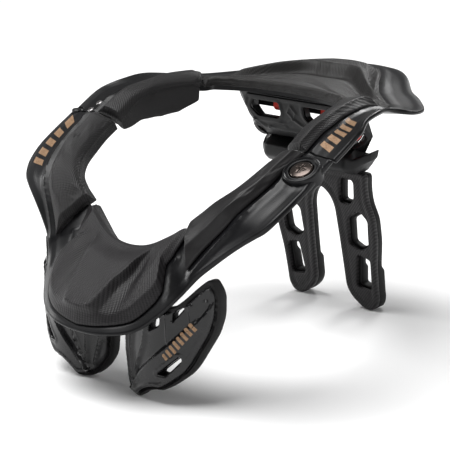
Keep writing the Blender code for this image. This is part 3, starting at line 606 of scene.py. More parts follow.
def pad(name, ring, rows, start_at, end_at, border, drop, relief, finish):
    """A padded skin over the shell: rounded borders, a wall down the inner side and soft ends."""
    loops = []
    weave = []
    for row in range(rows + 1):
        even = row / rows
        progress = 0.6 * even + 0.4 * (0.5 - 0.5 * math.cos(math.pi * even))
        top = []
        coordinates = []
        for k in range(PAD_COLUMNS + 1):
            even = k / PAD_COLUMNS
            part = 0.5 * even + 0.5 * (0.5 - 0.5 * math.cos(math.pi * even))
            first, last = start_at(part), end_at(part)
            station = first + (last - first) * progress
            share = border(ring.folded(station)) * part
            width = ring.width(station)
            from_border = (border(ring.folded(station)) * (1 - part)) * width
            from_rim = share * width
            from_end = min(station - first, last - station) * 12.0
            height = PAD_THICKNESS + relief(ring.folded(station), part)
            flat = min(from_border / PAD_SLOPE, from_end / (PAD_END_SHARE * PAD_SLOPE))
            slope = PAD_SLOPE_DROP * (1 - soft_step(flat))
            fall = slope + max(fillet(from_border, 2.0), fillet(from_rim, PAD_EDGE_RADIUS),
                               fillet(from_end, 2.0))
            top.append(ring.point(station, max(share, 0.004), max(0.4, height - fall)))
            coordinates.append((ring.run(station) if k == 0 else 0.0, share * width, 0.0))
        length = coordinates[0][0]
        weave_row = [(length, across, 0.0) for _, across, _ in coordinates]
        first, last = start_at(0.0), end_at(0.0)
        station = first + (last - first) * progress
        wall_share = PAD_WALL / ring.width(station)
        depth = drop(ring.folded(station))
        wall = [ring.point(station, 0.01, PAD_THICKNESS * 0.2 - (depth + PAD_THICKNESS * 0.2) * t)
                for t in (0.0, 0.25, 0.5, 0.75, 0.96)]
        under = [ring.point(station, wall_share * share, -depth) for share in (0.35, 0.9)]
        seat = []
        for part in (0.3, 0.6, 0.98):
            station = start_at(part) + (end_at(part) - start_at(part)) * progress
            share = max(wall_share, border(ring.folded(station)) * part)
            seat.append(ring.point(station, share, 0.35))
        loops.append(wall[::-1] + top + seat[::-1] + under[::-1])
        lengths = [(length, -10.0 * (k + 1), 0.0) for k in range(5)]
        weave.extend(lengths[::-1])
        weave.extend(weave_row)
        weave.extend([(length, 0.0, 0.0)] * 3)
        weave.extend([(length, -60.0, 0.0)] * 2)
    return skin(name, loops, finish, weave)


SWELL_CAP = 0.5
SWELL_FRAMES = 14
CLOTH_SETTINGS = {
    "quality": 5, "mass": 0.3, "tension_stiffness": 30.0, "compression_stiffness": 30.0,
    "shear_stiffness": 15.0, "bending_stiffness": 4.0, "use_pressure": True, "uniform_pressure_force": 4.0}


def swell(piece):
    """Blow a padded piece up a little with the cloth solver, and keep the result in its mesh."""
    rest = np.zeros(len(piece.data.vertices) * 3, np.float32)
    piece.data.vertices.foreach_get("co", rest)
    cloth = piece.modifiers.new("swell", "CLOTH")
    for key, value in CLOTH_SETTINGS.items():
        setattr(cloth.settings, key, value)
    cloth.settings.effector_weights.gravity = 0.0
    cloth.collision_settings.use_collision = False
    cloth.point_cache.frame_start = 1
    cloth.point_cache.frame_end = SWELL_FRAMES
    scene = bpy.context.scene
    for number in range(1, SWELL_FRAMES + 1):
        scene.frame_set(number)
    graph = bpy.context.evaluated_depsgraph_get()
    swollen = piece.evaluated_get(graph).data
    moved = np.zeros(len(rest), np.float32)
    swollen.vertices.foreach_get("co", moved)
    piece.modifiers.clear()
    shift = (moved - rest).reshape(-1, 3)
    length = np.linalg.norm(shift, axis=1, keepdims=True)
    shift *= np.minimum(1.0, SWELL_CAP * MM / np.maximum(length, 1e-9))
    piece.data.vertices.foreach_set("co", (rest.reshape(-1, 3) + shift).ravel())
    piece.data.update()
    scene.frame_set(1)


def refine(piece):
    """Smooth a finished piece with one subdivision, kept in its mesh."""
    smooth = piece.modifiers.new("smooth", "SUBSURF")
    smooth.levels = 1
    smooth.render_levels = 1
    apply_modifiers(piece)


def arm_relief(folded, part):
    """A soft crown with a raised rib along the outer border."""
    return 1.4 * math.sin(math.pi * part) + 0.6 * bump(part - 0.72, 0.05)


def front_centre_relief(folded, part):
    """The raised middle field with valleys on both sides and a step along the lip."""
    away = FRONT.middle - folded
    inside = blend(PLATEAU_HALF_WIDTH, part) - away
    shown = soft_step((part - 0.08) / 0.25)
    field = soft_step(inside / 0.30 + 0.5) * (1.0 - soft_step((part - PLATEAU_END) / 0.05))
    valley = (bump(inside + 0.55, 0.5) * soft_step((part - 0.2) / 0.25)
              * (1.0 - soft_step((part - 0.88) / 0.1)))
    ridge = bump(inside - 0.18, 0.14) * shown * (1.0 - soft_step((part - 0.84) / 0.05))
    shoulder = (bump(inside + 1.75, 0.45) * soft_step((part - 0.35) / 0.2)
                * (1.0 - soft_step((part - 0.9) / 0.06)))
    return 4.6 * field * shown - 2.2 * valley + 0.8 * ridge + 1.0 * shoulder


def rear_centre_relief(folded, part):
    """The pad thins to the back and carries a raised chevron that fades along its legs."""
    rise = 8.0 * blend(CHEVRON_FADE, folded)
    front = blend(CHEVRON_FRONT, folded)
    raised = rise * soft_step((part - front) / 0.09)
    groove = 2.0 * bump(part - front + 0.02, 0.04) * soft_step((part - 0.3) / 0.2)
    lip = 1.2 * bump(part - front - 0.10, 0.035)
    back = rise * soft_step((part - 0.80) / 0.15) * 0.8
    channel = 1.2 * bump(part - 0.16, 0.05) * (1.0 - soft_step((folded - 13.0) / 2.0))
    return raised - 5.5 * soft_step(part * 1.6) - groove + lip - channel - back


def tabled(table):
    """A function that reads a table."""
    return lambda key: blend(table, key)


def level(value):
    """A function of one value everywhere."""
    return lambda key: value


def mirrored(piece, name):
    """The same piece on the other side of the plane X = 0."""
    twin = piece.copy()
    twin.data = piece.data.copy()
    twin.name = name
    twin.data.transform(Matrix.Scale(-1, 4, (1, 0, 0)))
    twin.data.flip_normals()
    bpy.context.scene.collection.objects.link(twin)
    return twin


def seat_cushion(piece, body):
    """Give a cushion its body and hide the pad that it stands for."""
    finish_piece(piece, body, "charcoal foam", piece.name.replace("cushion", "pad"))


def cushion(name, ring, *shape):
    """A swollen and smoothed pad on its body."""
    piece = pad(name, ring, *shape)
    swell(piece)
    refine(piece)
    seat_cushion(piece, "front" if ring is FRONT else "rear")
    return piece


def build_collar():
    """Both shells with their six pads; the right arm pads mirror the left ones."""
    for name, ring in (("front", FRONT), ("rear", REAR)):
        piece = shell(name + "_shell", ring, -SPLIT_REACH, ring.last + SPLIT_REACH)
        finish_piece(piece, name, "satin black shell", name + "_chassis")
    front = cushion("front_arm_cushion_left", FRONT, 70, level(-0.05), tabled(FRONT_ARM_PAD_END),
                    tabled(FRONT_ARM_PAD_BORDER), level(FRONT_PAD_DROP), arm_relief, ARM_FOAM)
    rear = cushion("rear_arm_cushion_left", REAR, 64, level(-0.05),
                   lambda part: blend(REAR_SEAM, part) - REAR_SEAM_HALF_GAP, tabled(REAR_ARM_PAD_BORDER),
                   lambda key: REAR_PAD_DROP * blend(REAR_ARM_PAD_DROP, key), arm_relief, ARM_FOAM)
    for body, piece in (("front", front), ("rear", rear)):
        seat_cushion(mirrored(piece, body + "_arm_cushion_right"), body)
    cushion("front_centre_cushion", FRONT, 150, tabled(FRONT_CENTRE_PAD_END),
            lambda part: FRONT.last - blend(FRONT_CENTRE_PAD_END, part),
            tabled(FRONT_CENTRE_PAD_BORDER), level(FRONT_PAD_DROP), front_centre_relief, CENTRE_FOAM)
    cushion("rear_centre_cushion", REAR, 150, lambda part: blend(REAR_SEAM, part) + REAR_SEAM_HALF_GAP,
            lambda part: REAR.last - blend(REAR_SEAM, part) - REAR_SEAM_HALF_GAP,
            tabled(REAR_CENTRE_PAD_BORDER), level(1.0), rear_centre_relief, REAR_FOAM)


build_collar()


# Flat moulded plates with holes, relief and a bend: the chest flaps and the back strut


def rounded_loop(points, radius, steps=5):
    """The outline with its corners rounded by a curve that starts a radius before each corner."""
    result = []
    for k, point in enumerate(points):
        here = Vector(point)
        ways = [Vector(points[k - 1]) - here, Vector(points[(k + 1) % len(points)]) - here]
        start, end = (here + way.normalized() * min(radius, 0.45 * way.length) for way in ways)
        for step in range(steps + 1):
            t = step / steps
            result.append(tuple(start * (1 - t) ** 2 + here * (2 * t * (1 - t)) + end * t ** 2))
    return result


def resampled(points, spacing):
    """The closed outline as points at an even spacing."""
    loop = [Vector(point) for point in points]
    loop.append(loop[0])
    lengths = [(b - a).length for a, b in zip(loop, loop[1:])]
    count = max(8, int(sum(lengths) / spacing))
    step = sum(lengths) / count
    result = []
    index, used = 0, 0.0
    for k in range(count):
        target = k * step
        while used + lengths[index] < target:
            used += lengths[index]
            index += 1
        result.append(tuple(loop[index].lerp(loop[index + 1], (target - used) / lengths[index])))
    return result


def inset_loop(points, distance):
    """The outline moved inwards by a distance, or outwards by a negative one."""
    area = sum(a[0] * b[1] - b[0] * a[1] for a, b in zip(points, points[1:] + points[:1]))
    side = 1.0 if area > 0 else -1.0
    moved = []
    for k, point in enumerate(points):
        before, after = Vector(points[k - 1]), Vector(points[(k + 1) % len(points)])
        here = Vector(point)
        first = (here - before).normalized()
        second = (after - here).normalized()
        normal_a = Vector((-first.y, first.x)) * side
        normal_b = Vector((-second.y, second.x)) * side
        mitre = (normal_a + normal_b).normalized()
        stretch = distance / max(0.5, mitre.dot(normal_a))
        moved.append(tuple(here + mitre * stretch))
    return moved


def line_distance(points, line, closed=False):
    """Distance of each 2D point to a polyline."""
    ends = list(zip(line, line[1:]))
    if closed:
        ends.append((line[-1], line[0]))
    nearest = np.full(len(points), np.inf)
    for a, b in ends:
        a, b = np.array(a), np.array(b)
        way = b - a
        t = np.clip(((points - a) @ way) / max(way @ way, 1e-9), 0, 1)
        nearest = np.minimum(nearest, np.linalg.norm(points - (a + t[:, None] * way), axis=1))
    return nearest


def inside_loops(points, loops):
    """Whether each 2D point is inside the outline and outside the holes."""
    crossings = np.zeros(len(points), int)
    for loop in loops:
        for (ax, ay), (bx, by) in zip(loop, loop[1:] + loop[:1]):
            if ay == by:
                continue
            spans = (points[:, 1] >= min(ay, by)) & (points[:, 1] < max(ay, by))
            reach = ax + (points[:, 1] - ay) * (bx - ax) / (by - ay)
            crossings += spans & (points[:, 0] < reach)
    return crossings % 2 == 1


def plate(name, loops, spacing, front, back, bend, finish):
    """A plate of closed loops: front and back give heights by point and distance to the border."""
    loops = [resampled(loop, spacing * 0.6) for loop in loops]
    borders = [point for loop in loops for point in loop]
    corners = np.array(borders)
    low, high = corners.min(axis=0), corners.max(axis=0)
    row_step = spacing * 0.866
    grid = [(low[0] + spacing * (i + 0.5 * (j % 2)), low[1] + row_step * j)
            for j in range(int((high[1] - low[1]) / row_step) + 2)
            for i in range(int((high[0] - low[0]) / spacing) + 2)]
    grid = np.array(grid)
    gap = np.min([line_distance(grid, loop, True) for loop in loops], axis=0)
    grid = grid[(gap > 1.9) & inside_loops(grid, loops)]
    rims = []
    for inset in (0.35, 1.1):
        for number, loop in enumerate(loops):
            moved = np.array(inset_loop(loop, inset if number == 0 else -inset))
            away = np.min([line_distance(moved, other, True) for other in loops], axis=0)
            rims.append(moved[(away > inset * 0.85) & inside_loops(moved, loops)])
    points = [Vector(point) for point in borders] + [Vector(p) for p in np.vstack(rims + [grid])]
    edges = []
    start = 0
    for loop in loops:
        edges.extend((start + k, start + (k + 1) % len(loop)) for k in range(len(loop)))
        start += len(loop)
    found = delaunay_2d_cdt(points, edges, [], 0, 1e-5)
    flat = np.array([tuple(point) for point in found[0]])
    faces = [face for face in found[2]]
    centres = np.array([flat[list(face)].mean(axis=0) for face in faces])
    faces = [face for face, kept in zip(faces, inside_loops(centres, loops)) if kept]
    from_border = np.min([line_distance(flat, loop, True) for loop in loops], axis=0)
    tops = front(flat, from_border)
    bottoms = back(flat, from_border)
    bm = bmesh.new()
    used = sorted({index for face in faces for index in face})
    upper = {i: bm.verts.new(bend(flat[i][0], flat[i][1], tops[i])) for i in used}
    lower = {i: bm.verts.new(bend(flat[i][0], flat[i][1], bottoms[i])) for i in used}
    sides = {}
    for face in faces:
        bm.faces.new([upper[i] for i in face])
        bm.faces.new([lower[i] for i in face[::-1]])
        for a, b in zip(face, list(face[1:]) + [face[0]]):
            sides[(a, b)] = True
    for a, b in sides:
        if (b, a) not in sides:
            bm.faces.new((upper[b], upper[a], lower[a], lower[b]))
    weave = [(flat[i][0], flat[i][1], 0.0) for i in used] * 2
    return make_object(name, bm, finish, weave, smooth_angle=50.0)


def rounding(from_border, radius):
    """Fillet of a plate's border as an array."""
    inner = np.clip(radius - from_border, 0, radius)
    return radius - np.sqrt(np.maximum(radius ** 2 - inner ** 2, 0))


# Chest flaps

FLAP_WIDTH = 94.5
FLAP_HEIGHT = 101.0
FLAP_Y = -133.0
FLAP_SWEEP = 17.0
FLAP_SWEEP_SPAN = 40.0
FLAP_MIDDLE_X = 45.0
FLAP_CLEARANCE = 0.5
FLAP_SHELL_THICKNESS = 3.5
FLAP_PAD_THICKNESS = 7.0
FLAP_SHELL_INSET = 3.2
FLAP_FACE_LIFT = 1.2
# Outline of a flap from its inner top corner, as shares of FLAP_WIDTH and FLAP_HEIGHT.
FLAP_OUTLINE = (
    (0.075, 0.34), (0.085, 0.19), (0.140, 0.08), (0.220, 0.012), (0.300, 0.0),
    (0.370, 0.0), (0.450, 0.065), (0.545, 0.104), (0.620, 0.105), (0.700, 0.155), (0.815, 0.250),
    (0.865, 0.330), (0.970, 0.560), (1.000, 0.700), (1.000, 0.870),
)
FLAP_TOP = (0.95, 0.87, 0.79, 0.715, 0.61, 0.51, 0.36, 0.22, 0.075)
FLAP_WINDOWS = (
    ((0.513, 0.650), (0.597, 0.675), (0.592, 0.615), (0.493, 0.558)),
    ((0.704, 0.715), (0.771, 0.765), (0.789, 0.767), (0.700, 0.650)),
    ((0.592, 0.240), (0.670, 0.240), (0.787, 0.371), (0.771, 0.400)),
)
# The long ridge over a flap, and the ribs of the pocket above it, in the same shares.
FLAP_RIDGE = (
    (0.27, 0.05), (0.31, 0.125), (0.40, 0.229), (0.56, 0.371), (0.725, 0.519), (0.90, 0.693), (1.02, 0.88))
FLAP_RIBS = (
    ((0.175, 0.60), (0.155, 0.32), (0.205, 0.12)),
    ((0.330, 0.60), (0.262, 0.35), (0.270, 0.13)),
    ((0.470, 0.60), (0.430, 0.42), (0.330, 0.20)),
    ((0.668, 0.72), (0.671, 0.50)),
    ((0.830, 0.78), (0.840, 0.66)),
)
FLAP_CREASE = ((0.880, 0.97), (0.916, 0.835), (0.935, 0.98))
FLAP_PRINT = ((0.685, 0.345), (0.900, 0.630))
FLAP_PRINT_HEIGHT = 6.5
FLAP_PRINT_BARS = 8


def flap_loop(loop):
    """Shares of a flap as millimetres along it and up."""
    return [(x * FLAP_WIDTH, FOOT_Z + z * FLAP_HEIGHT) for x, z in loop]


def flap_bend(x, z, out):
    """A point of a flap, which sweeps back on both sides of its middle."""
    y = FLAP_Y + FLAP_SWEEP * ((x - FLAP_MIDDLE_X) / FLAP_SWEEP_SPAN) ** 2
    return Vector((x, y - out, z))


def flap_relief(flat, from_border):
    """The moulded face: a pocket with ribs above a long ridge, and a lip along the border."""
    ridge = flap_loop(FLAP_RIDGE)
    away = line_distance(flat, ridge)
    lift = np.interp(flat[:, 0], [p[0] for p in ridge], [p[1] for p in ridge])
    above = np.where(flat[:, 1] > lift, away, -away)
    step = np.clip((above + 1.5) / 3.0, 0, 1)
    deepest = np.interp(above, (0.0, 12.0, 30.0, 60.0), (3.6, 3.2, 2.2, 1.2))
    height = FLAP_FACE_LIFT - deepest * step * step * (3 - 2 * step) + 0.7 * np.exp(-(away / 1.3) ** 2)
    for rib in FLAP_RIBS:
        height += 2.6 * np.exp(-(line_distance(flat, flap_loop(rib)) / 1.5) ** 2)
    height -= 1.2 * np.exp(-(line_distance(flat, flap_loop(FLAP_CREASE)) / 1.6) ** 2)
    height += 0.9 * np.exp(-((from_border - 1.8) / 1.2) ** 2)
    return np.minimum(height, FLAP_FACE_LIFT + 1.0)


def build_flaps():
    """A thin moulded shell with relief on a thick rimmed pad, on each side of the chest."""
    outline = flap_loop(FLAP_OUTLINE)
    for share in FLAP_TOP:
        x = share * FLAP_WIDTH
        rest = flap_bend(x, 0.0, 0.0).y
        under = min(FRONT.under((9.0, 0.7), x, rest - FLAP_SHELL_THICKNESS - FLAP_CLEARANCE),
                    FRONT.under((9.0, 0.7), x, rest + FLAP_PAD_THICKNESS))
        outline.append((x, min(under - 3 * FLAP_CLEARANCE, FOOT_Z + FLAP_HEIGHT)))
    windows = [rounded_loop(flap_loop(loop), 1.6) for loop in FLAP_WINDOWS]
    edge = rounded_loop(outline, 5.0)
    seat = FLAP_CLEARANCE + FLAP_SHELL_THICKNESS
    face = plate("chest_flap_left", [inset_loop(edge, FLAP_SHELL_INSET)] + windows, 1.25,
                 lambda flat, gap: seat + flap_relief(flat, gap) - rounding(gap, 1.1),
                 lambda flat, gap: np.full(len(flat), FLAP_CLEARANCE), flap_bend, FLAP_SHELL)
    back = plate("chest_cushion_left", [edge] + [inset_loop(loop, -0.4) for loop in windows], 2.6,
                 lambda flat, gap: 2.6 * (1 - np.clip((gap - 1.8) / 0.9, 0, 1)) - rounding(gap, 1.8),
                 lambda flat, gap: rounding(gap, 2.5) - FLAP_PAD_THICKNESS, flap_bend, FOAM_EDGE)
    for piece, kind in ((face, "flap"), (back, "cushion")):
        twin = mirrored(piece, "chest_" + kind + "_right")
        for each, side in ((piece, "left"), (twin, "right")):
            node = "chest_shell_" + side if kind == "flap" else "chest_pad_" + side
            finish_piece(each, "front", "satin black shell" if kind == "flap" else "charcoal foam", node)
    build_flap_print(seat)


def build_flap_print(seat):
    """A row of small slanted bars where the flap carries print."""
    (x0, z0), (x1, z1) = flap_loop(FLAP_PRINT)
    way = Vector((x1 - x0, z1 - z0))
    along = way.normalized()
    up = Vector((-along.y, along.x))
    pitch = way.length / FLAP_PRINT_BARS
    for k in range(FLAP_PRINT_BARS):
        start = Vector((x0, z0)) + along * (pitch * k)
        corners = [start, start + along * pitch * 0.55,
                   start + along * pitch * 0.95 + up * FLAP_PRINT_HEIGHT,
                   start + along * pitch * 0.40 + up * FLAP_PRINT_HEIGHT]
        bar = plate("flap_bar_%d" % k, [[tuple(c) for c in corners]], 2.0,
                    lambda flat, gap: np.full(len(flat), seat + FLAP_FACE_LIFT + 0.16),
                    lambda flat, gap: np.full(len(flat), seat + FLAP_FACE_LIFT - 0.4), flap_bend, BRONZE)
        finish_piece(bar, "front", "dark chrome")


build_flaps()


# Back strut, saddle and lower frame

STRUT_HALF_WIDTH = 60.0
STRUT_HEIGHT = 143.0
STRUT_TOP_Y = 117.0
STRUT_FOOT_Y = 146.0
STRUT_THICKNESS = 12.0
STRUT_FACE_THICKNESS = 5.0
STRUT_LEDGE = 2.2
STRUT_FOOT_TOP = 46.0
STRUT_FOOT_SWELL = 3.5
STRUT_OUTLINE = (
    (0.0, 0.91), (0.86, 0.91), (0.83, 0.80), (0.84, 0.72), (0.92, 0.62), (0.92, 0.47), (0.86, 0.30),
    (0.84, 0.14), (0.84, 0.07), (0.78, 0.015), (0.70, 0.0), (0.60, 0.0), (0.48, 0.03), (0.36, 0.075),
    (0.29, 0.13), (0.26, 0.45), (0.23, 0.66), (0.17, 0.725), (0.07, 0.765), (0.0, 0.775),
)
STRUT_SLOTS = (
    ((0.36, 0.710), (0.50, 0.705), (0.56, 0.740), (0.58, 0.840), (0.40, 0.840)),
    ((0.46, 0.440), (0.60, 0.410), (0.74, 0.440), (0.76, 0.600), (0.66, 0.640), (0.48, 0.590)),
    ((0.52, 0.160), (0.72, 0.150), (0.74, 0.330), (0.58, 0.350)),
)


def strut_loop(loop, side=1):
    """Shares of the strut as millimetres across it and up."""
    return [(side * x * STRUT_HALF_WIDTH, FOOT_Z + z * STRUT_HEIGHT) for x, z in loop]


def strut_bend(x, z, out):
    """A point of the leaning strut."""
    y = STRUT_TOP_Y + (STRUT_FOOT_Y - STRUT_TOP_Y) * (1 - z / STRUT_HEIGHT)
    return Vector((x, y - out, z))


def build_strut():
    """A ribbed front plate with wider slots on a thick foam back that swells at the feet."""
    half = strut_loop(STRUT_OUTLINE)
    outline = rounded_loop(half + [(-x, z) for x, z in half[-2:0:-1]], 5.0)
    slots = [rounded_loop(strut_loop(loop, side), 2.2) for loop in STRUT_SLOTS for side in (1, -1)]

    def face_height(flat, gap):
        rim = line_distance(flat, outline, True)
        lip = 0.7 * np.exp(-((rim - 2.2) / 1.6) ** 2)
        return lip - 0.7 * np.exp(-((rim - 6.5) / 0.8) ** 2) - rounding(gap, 1.1)

    def foam_back(flat, gap):
        foot = np.clip((STRUT_FOOT_TOP - flat[:, 1]) / 6.0, 0, 1)
        return rounding(gap, 1.8) - STRUT_THICKNESS - STRUT_FOOT_SWELL * foot * foot * (3 - 2 * foot)

    def face_back(flat, gap):
        return rounding(gap, 0.9) - STRUT_FACE_THICKNESS

    def foam_front(flat, gap):
        return -STRUT_FACE_THICKNESS - rounding(gap, 0.9)

    face = plate("strut_face", [outline] + [inset_loop(loop, -STRUT_LEDGE) for loop in slots], 1.8,
                 face_height, face_back, strut_bend, STRUT_FOAM)
    foam = plate("strut_foam", [inset_loop(outline, 0.5)] + slots, 2.6,
                 foam_front, foam_back, strut_bend, FOAM_EDGE)
    finish_piece(face, "rear", "charcoal foam", "thoracic_strut")
    finish_piece(foam, "rear", "charcoal foam", "thoracic_strut")


FRAME_HALF_WIDTH = 62.0
FRAME_FRONT_FOOT_Y = 101.1
FRAME_BACK_FOOT_Y = 125.0
FRAME_FRONT_FOOT_Z = 159.0
FRAME_BACK_FOOT_Z = 150.0
FRAME_CHAMFER = 15.0
FRAME_SIDE_RISE = 1.3 * FRAME_CHAMFER
SADDLE_HALF_WIDTH = 58.0
SADDLE_FLARE = 0.5
SADDLE_LIP_Z = 149.0
SADDLE_LIP_DEPTH = 15.0
SADDLE_FRONT_Y = 97.0
SADDLE_BACK_Y = 131.0
SADDLE_FOOT_Z = 133.5
SADDLE_FRONT_TRIM = ((0.0, 0.0), (0.75, 2.5), (0.9, 10.0), (1.0, 21.0))
SADDLE_BACK_TRIM = ((0.0, 0.0), (0.9, 0.0), (1.0, 1.5))
SADDLE_ROWS = 48
SADDLE_CLOSE = 1.2


def tray_floor(y):
    """Height of the lower frame's sloping floor."""
    way = (y - FRAME_FRONT_FOOT_Y) / (FRAME_BACK_FOOT_Y - FRAME_FRONT_FOOT_Y)
    return FRAME_FRONT_FOOT_Z + (FRAME_BACK_FOOT_Z - FRAME_FRONT_FOOT_Z) * way


def build_saddle():
    """The flared saddle on top of the strut with rounded edges."""
    loops = []
    for row in range(SADDLE_ROWS + 1):
        share = math.sin(math.pi * (row / SADDLE_ROWS - 0.5))
        x = share * SADDLE_HALF_WIDTH
        front = SADDLE_FRONT_Y + blend(SADDLE_FRONT_TRIM, abs(share))
        back = SADDLE_BACK_Y - blend(SADDLE_BACK_TRIM, abs(share))
        flare = SADDLE_FLARE * max(0.0, abs(x) - FRAME_HALF_WIDTH + FRAME_CHAMFER)
        seat = max(front + 1.0, SADDLE_FRONT_Y + SADDLE_LIP_DEPTH)
        seat_z = (tray_floor(back) + 0.6 * flare if flare else tray_floor(seat)) - FLAP_CLEARANCE
        section = [(front, min(SADDLE_LIP_Z + 0.4 * flare, seat_z)), (seat, seat_z + SADDLE_CLOSE),
                   (back, tray_floor(back) - FLAP_CLEARANCE + SADDLE_CLOSE + flare),
                   (back - 2.0, SADDLE_FOOT_Z + 2.5 * flare),
                   (front + 7.0, SADDLE_FOOT_Z + 2.5 * flare), (front, SADDLE_FOOT_Z + 6.0 + flare)]
        loops.append([Vector((x, y, z)) for y, z in rounded_loop(section, 2.5, 3)])
    finish_piece(skin("saddle", loops, FRAME_BLACK), "rear", "charcoal foam", "strut_saddle")


# Front face of the lower frame: where its wall lies at each height
FACE_PROFILE = ((159.0, 101.1), (164.0, 92.0), (186.0, 83.0), (200.0, 79.0))
FACE_OUTLINE = (
    (-49, 196), (49, 196), (52, 186), (44, 171), (34, 165.5), (-34, 165.5), (-44, 171), (-52, 186))
FACE_WINDOW = ((13, 191.5), (42, 191.5), (46.5, 184), (40, 176.5), (17, 176.5), (12.5, 182))
FACE_RIBS = (
    ((-50, 173), (-8, 173), (0, 178), (8, 173), (50, 173)),
    ((-30, 167), (-10, 170.5)),
    ((30, 167), (10, 170.5)),
)
FACE_LIFT = 1.2
DIAMOND = ((0, 190), (4.5, 184), (0, 178), (-4.5, 184))


def face_bend(x, z, out):
    """A point of the lower frame's front face."""
    return Vector((x, blend(FACE_PROFILE, z) - out, z))


def build_frame_face():
    """Rims, ribs and a diamond boss moulded on the front of the lower frame."""
    windows = [rounded_loop([(side * x, z) for x, z in FACE_WINDOW], 2.5) for side in (1, -1)]

    def height(flat, gap):
        relief = FACE_LIFT - 0.9 * np.clip((gap - 1.8) / 1.6, 0, 1) - rounding(gap, 0.8)
        for rib in FACE_RIBS:
            relief += 1.3 * np.exp(-(line_distance(flat, rib) / 1.1) ** 2)
        diamond = line_distance(flat, DIAMOND, True)
        return relief + 1.1 * np.exp(-(diamond / 0.9) ** 2)

    face = plate("frame_face", [rounded_loop(FACE_OUTLINE, 3.0)] + windows, 1.4, height,
                 lambda flat, gap: np.full(len(flat), -0.6), face_bend, FRAME_BLACK)
    finish_piece(face, "rear", "satin black shell")


LEVER_Y = 104.0
LEVER_HEIGHT_SHARE = 0.3
RECESS_RADIUS = 10.0
RECESS_DEPTH = 3.0
# The cheek runs round the dish over an arc, in degrees, then along its own outer border.
CHEEK_ARC = (-45.0, 100.0)
CHEEK_BORDER = ((-2.5, 12.5), (2.5, 14.5), (8.0, 11.0), (12.5, 2.0), (15.0, -6.0), (10.5, -8.5))
DISH_RIM_WIDTH = 0.9


def build_cheeks():
    """The check-woven cheek with its rolled rim, and the dish under each side lever."""
    for name, side in (("left", 1), ("right", -1)):
        outward = Vector((side * FRAME_SIDE_RISE, 0, -FRAME_CHAMFER)).normalized()
        uphill = Vector((side * FRAME_CHAMFER, 0, FRAME_SIDE_RISE)).normalized()
        centre = Vector((side * (FRAME_HALF_WIDTH - FRAME_CHAMFER * (1 - LEVER_HEIGHT_SHARE)), LEVER_Y,
                         tray_floor(LEVER_Y) + FRAME_SIDE_RISE * LEVER_HEIGHT_SHARE))

        arc = [math.radians(CHEEK_ARC[0] + (CHEEK_ARC[1] - CHEEK_ARC[0]) * k / 30) for k in range(31)]
        outline = [((RECESS_RADIUS + 0.2) * math.cos(a), (RECESS_RADIUS + 0.2) * math.sin(a)) for a in arc]
        outline.extend(CHEEK_BORDER)

        def bend(u, v, out):
            return centre + Vector((0, u, 0)) + uphill * v + outward * out

        dish = plate("recess_floor_" + name, [circle(RECESS_RADIUS, 40)], 2.0,
                     lambda flat, gap: (0.4 - RECESS_DEPTH
                                        + 1.2 * (1 - np.clip(gap / DISH_RIM_WIDTH, 0, 1))),
                     lambda flat, gap: np.full(len(flat), -RECESS_DEPTH - 1.0), bend, CHECK)
        finish_piece(dish, "rear", "satin black shell")
        cheek = plate("frame_cheek_" + name, [rounded_loop(outline, 2.0, 3)], 1.6,
                      lambda flat, gap: 0.3 + 1.3 * np.exp(-((gap - 1.5) / 1.3) ** 2) - rounding(gap, 0.8),
                      lambda flat, gap: np.full(len(flat), -1.2), bend, CHECK)
        finish_piece(cheek, "rear", "satin black shell")


build_strut()
build_saddle()
build_frame_face()
build_cheeks()


# Closure, screws and print

HOUSING_DEPTH = 8.5
BUTTON_RADIUS = 9.0
BUTTON_LENGTH = 5.0
BUTTON_TRAVEL = 1.5
BUTTON_PROUD = 1.5
BUTTON_FLOOR_GAP = 0.6
BUTTON_SIDE_GAP = 0.5
BUTTON_DOME = 1.0
CROSS_REACH = 4.2
CROSS_WIDTH = 0.9
BARREL_RADIUS = 5.0
SPLIT_Y = -34.6
SPLIT_GAP = 2.4


def cylinder_cut(piece, centre, axis, radius, reach):
    """Cut a round hole through a piece."""
    cutter = turned("cutter", ((radius, -reach), (radius, reach)), centre, axis, SHELL, 64)
    cut = piece.modifiers.new("hole", "BOOLEAN")
    cut.object = cutter
    cut.solver = "EXACT"
    cut.use_self = True
    apply_modifiers(piece)
    bpy.data.objects.remove(cutter)


def build_closure():
    """The round housing with its rolled rim, and the domed button with a cross slot."""
    normal = FRONT.frame(HOUSING_STATION)[2]
    centre = FRONT.point(HOUSING_STATION, HOUSING_SHARE, 1.5)
    bore = BUTTON_RADIUS + BUTTON_SIDE_GAP
    rim = 1.6
    floor = -BUTTON_LENGTH - BUTTON_TRAVEL - BUTTON_FLOOR_GAP
    lip = [(HOUSING_RADIUS - rim + rim * math.sin(a), 0.4 + rim * math.cos(a)) for a in
           (math.pi / 2 * k / 6 for k in range(7))]
    inner = [(bore + 1.2 - 1.2 * math.sin(a), 0.5 + 1.2 * math.cos(a)) for a in
             (math.pi / 2 * k / 5 for k in range(5, -1, -1))]
    housing = turned("latch_housing", [(bore, floor)] + inner + [(bore + 2.2, 1.1)] + lip
                     + [(HOUSING_RADIUS, -HOUSING_DEPTH), (0.5, -HOUSING_DEPTH), (0.5, floor)],
                     centre, normal, SHELL, 72)
    finish_piece(housing, "front", "satin black shell", "closure_housing")
    for name in ("front_shell", "front_arm_cushion_left"):
        cylinder_cut(bpy.data.objects[name], centre, normal, HOUSING_RADIUS - 0.4, 30.0)
    hinge = REAR.point(REAR.last, 0.90, 0.0)
    for name in ("front_shell", "rear_shell"):
        cylinder_cut(bpy.data.objects[name], (hinge.x, SPLIT_Y - SPLIT_GAP / 2, hinge.z), (0, 0, 1),
                     BARREL_RADIUS + 0.5, 30.0)
    build_button(centre, normal)


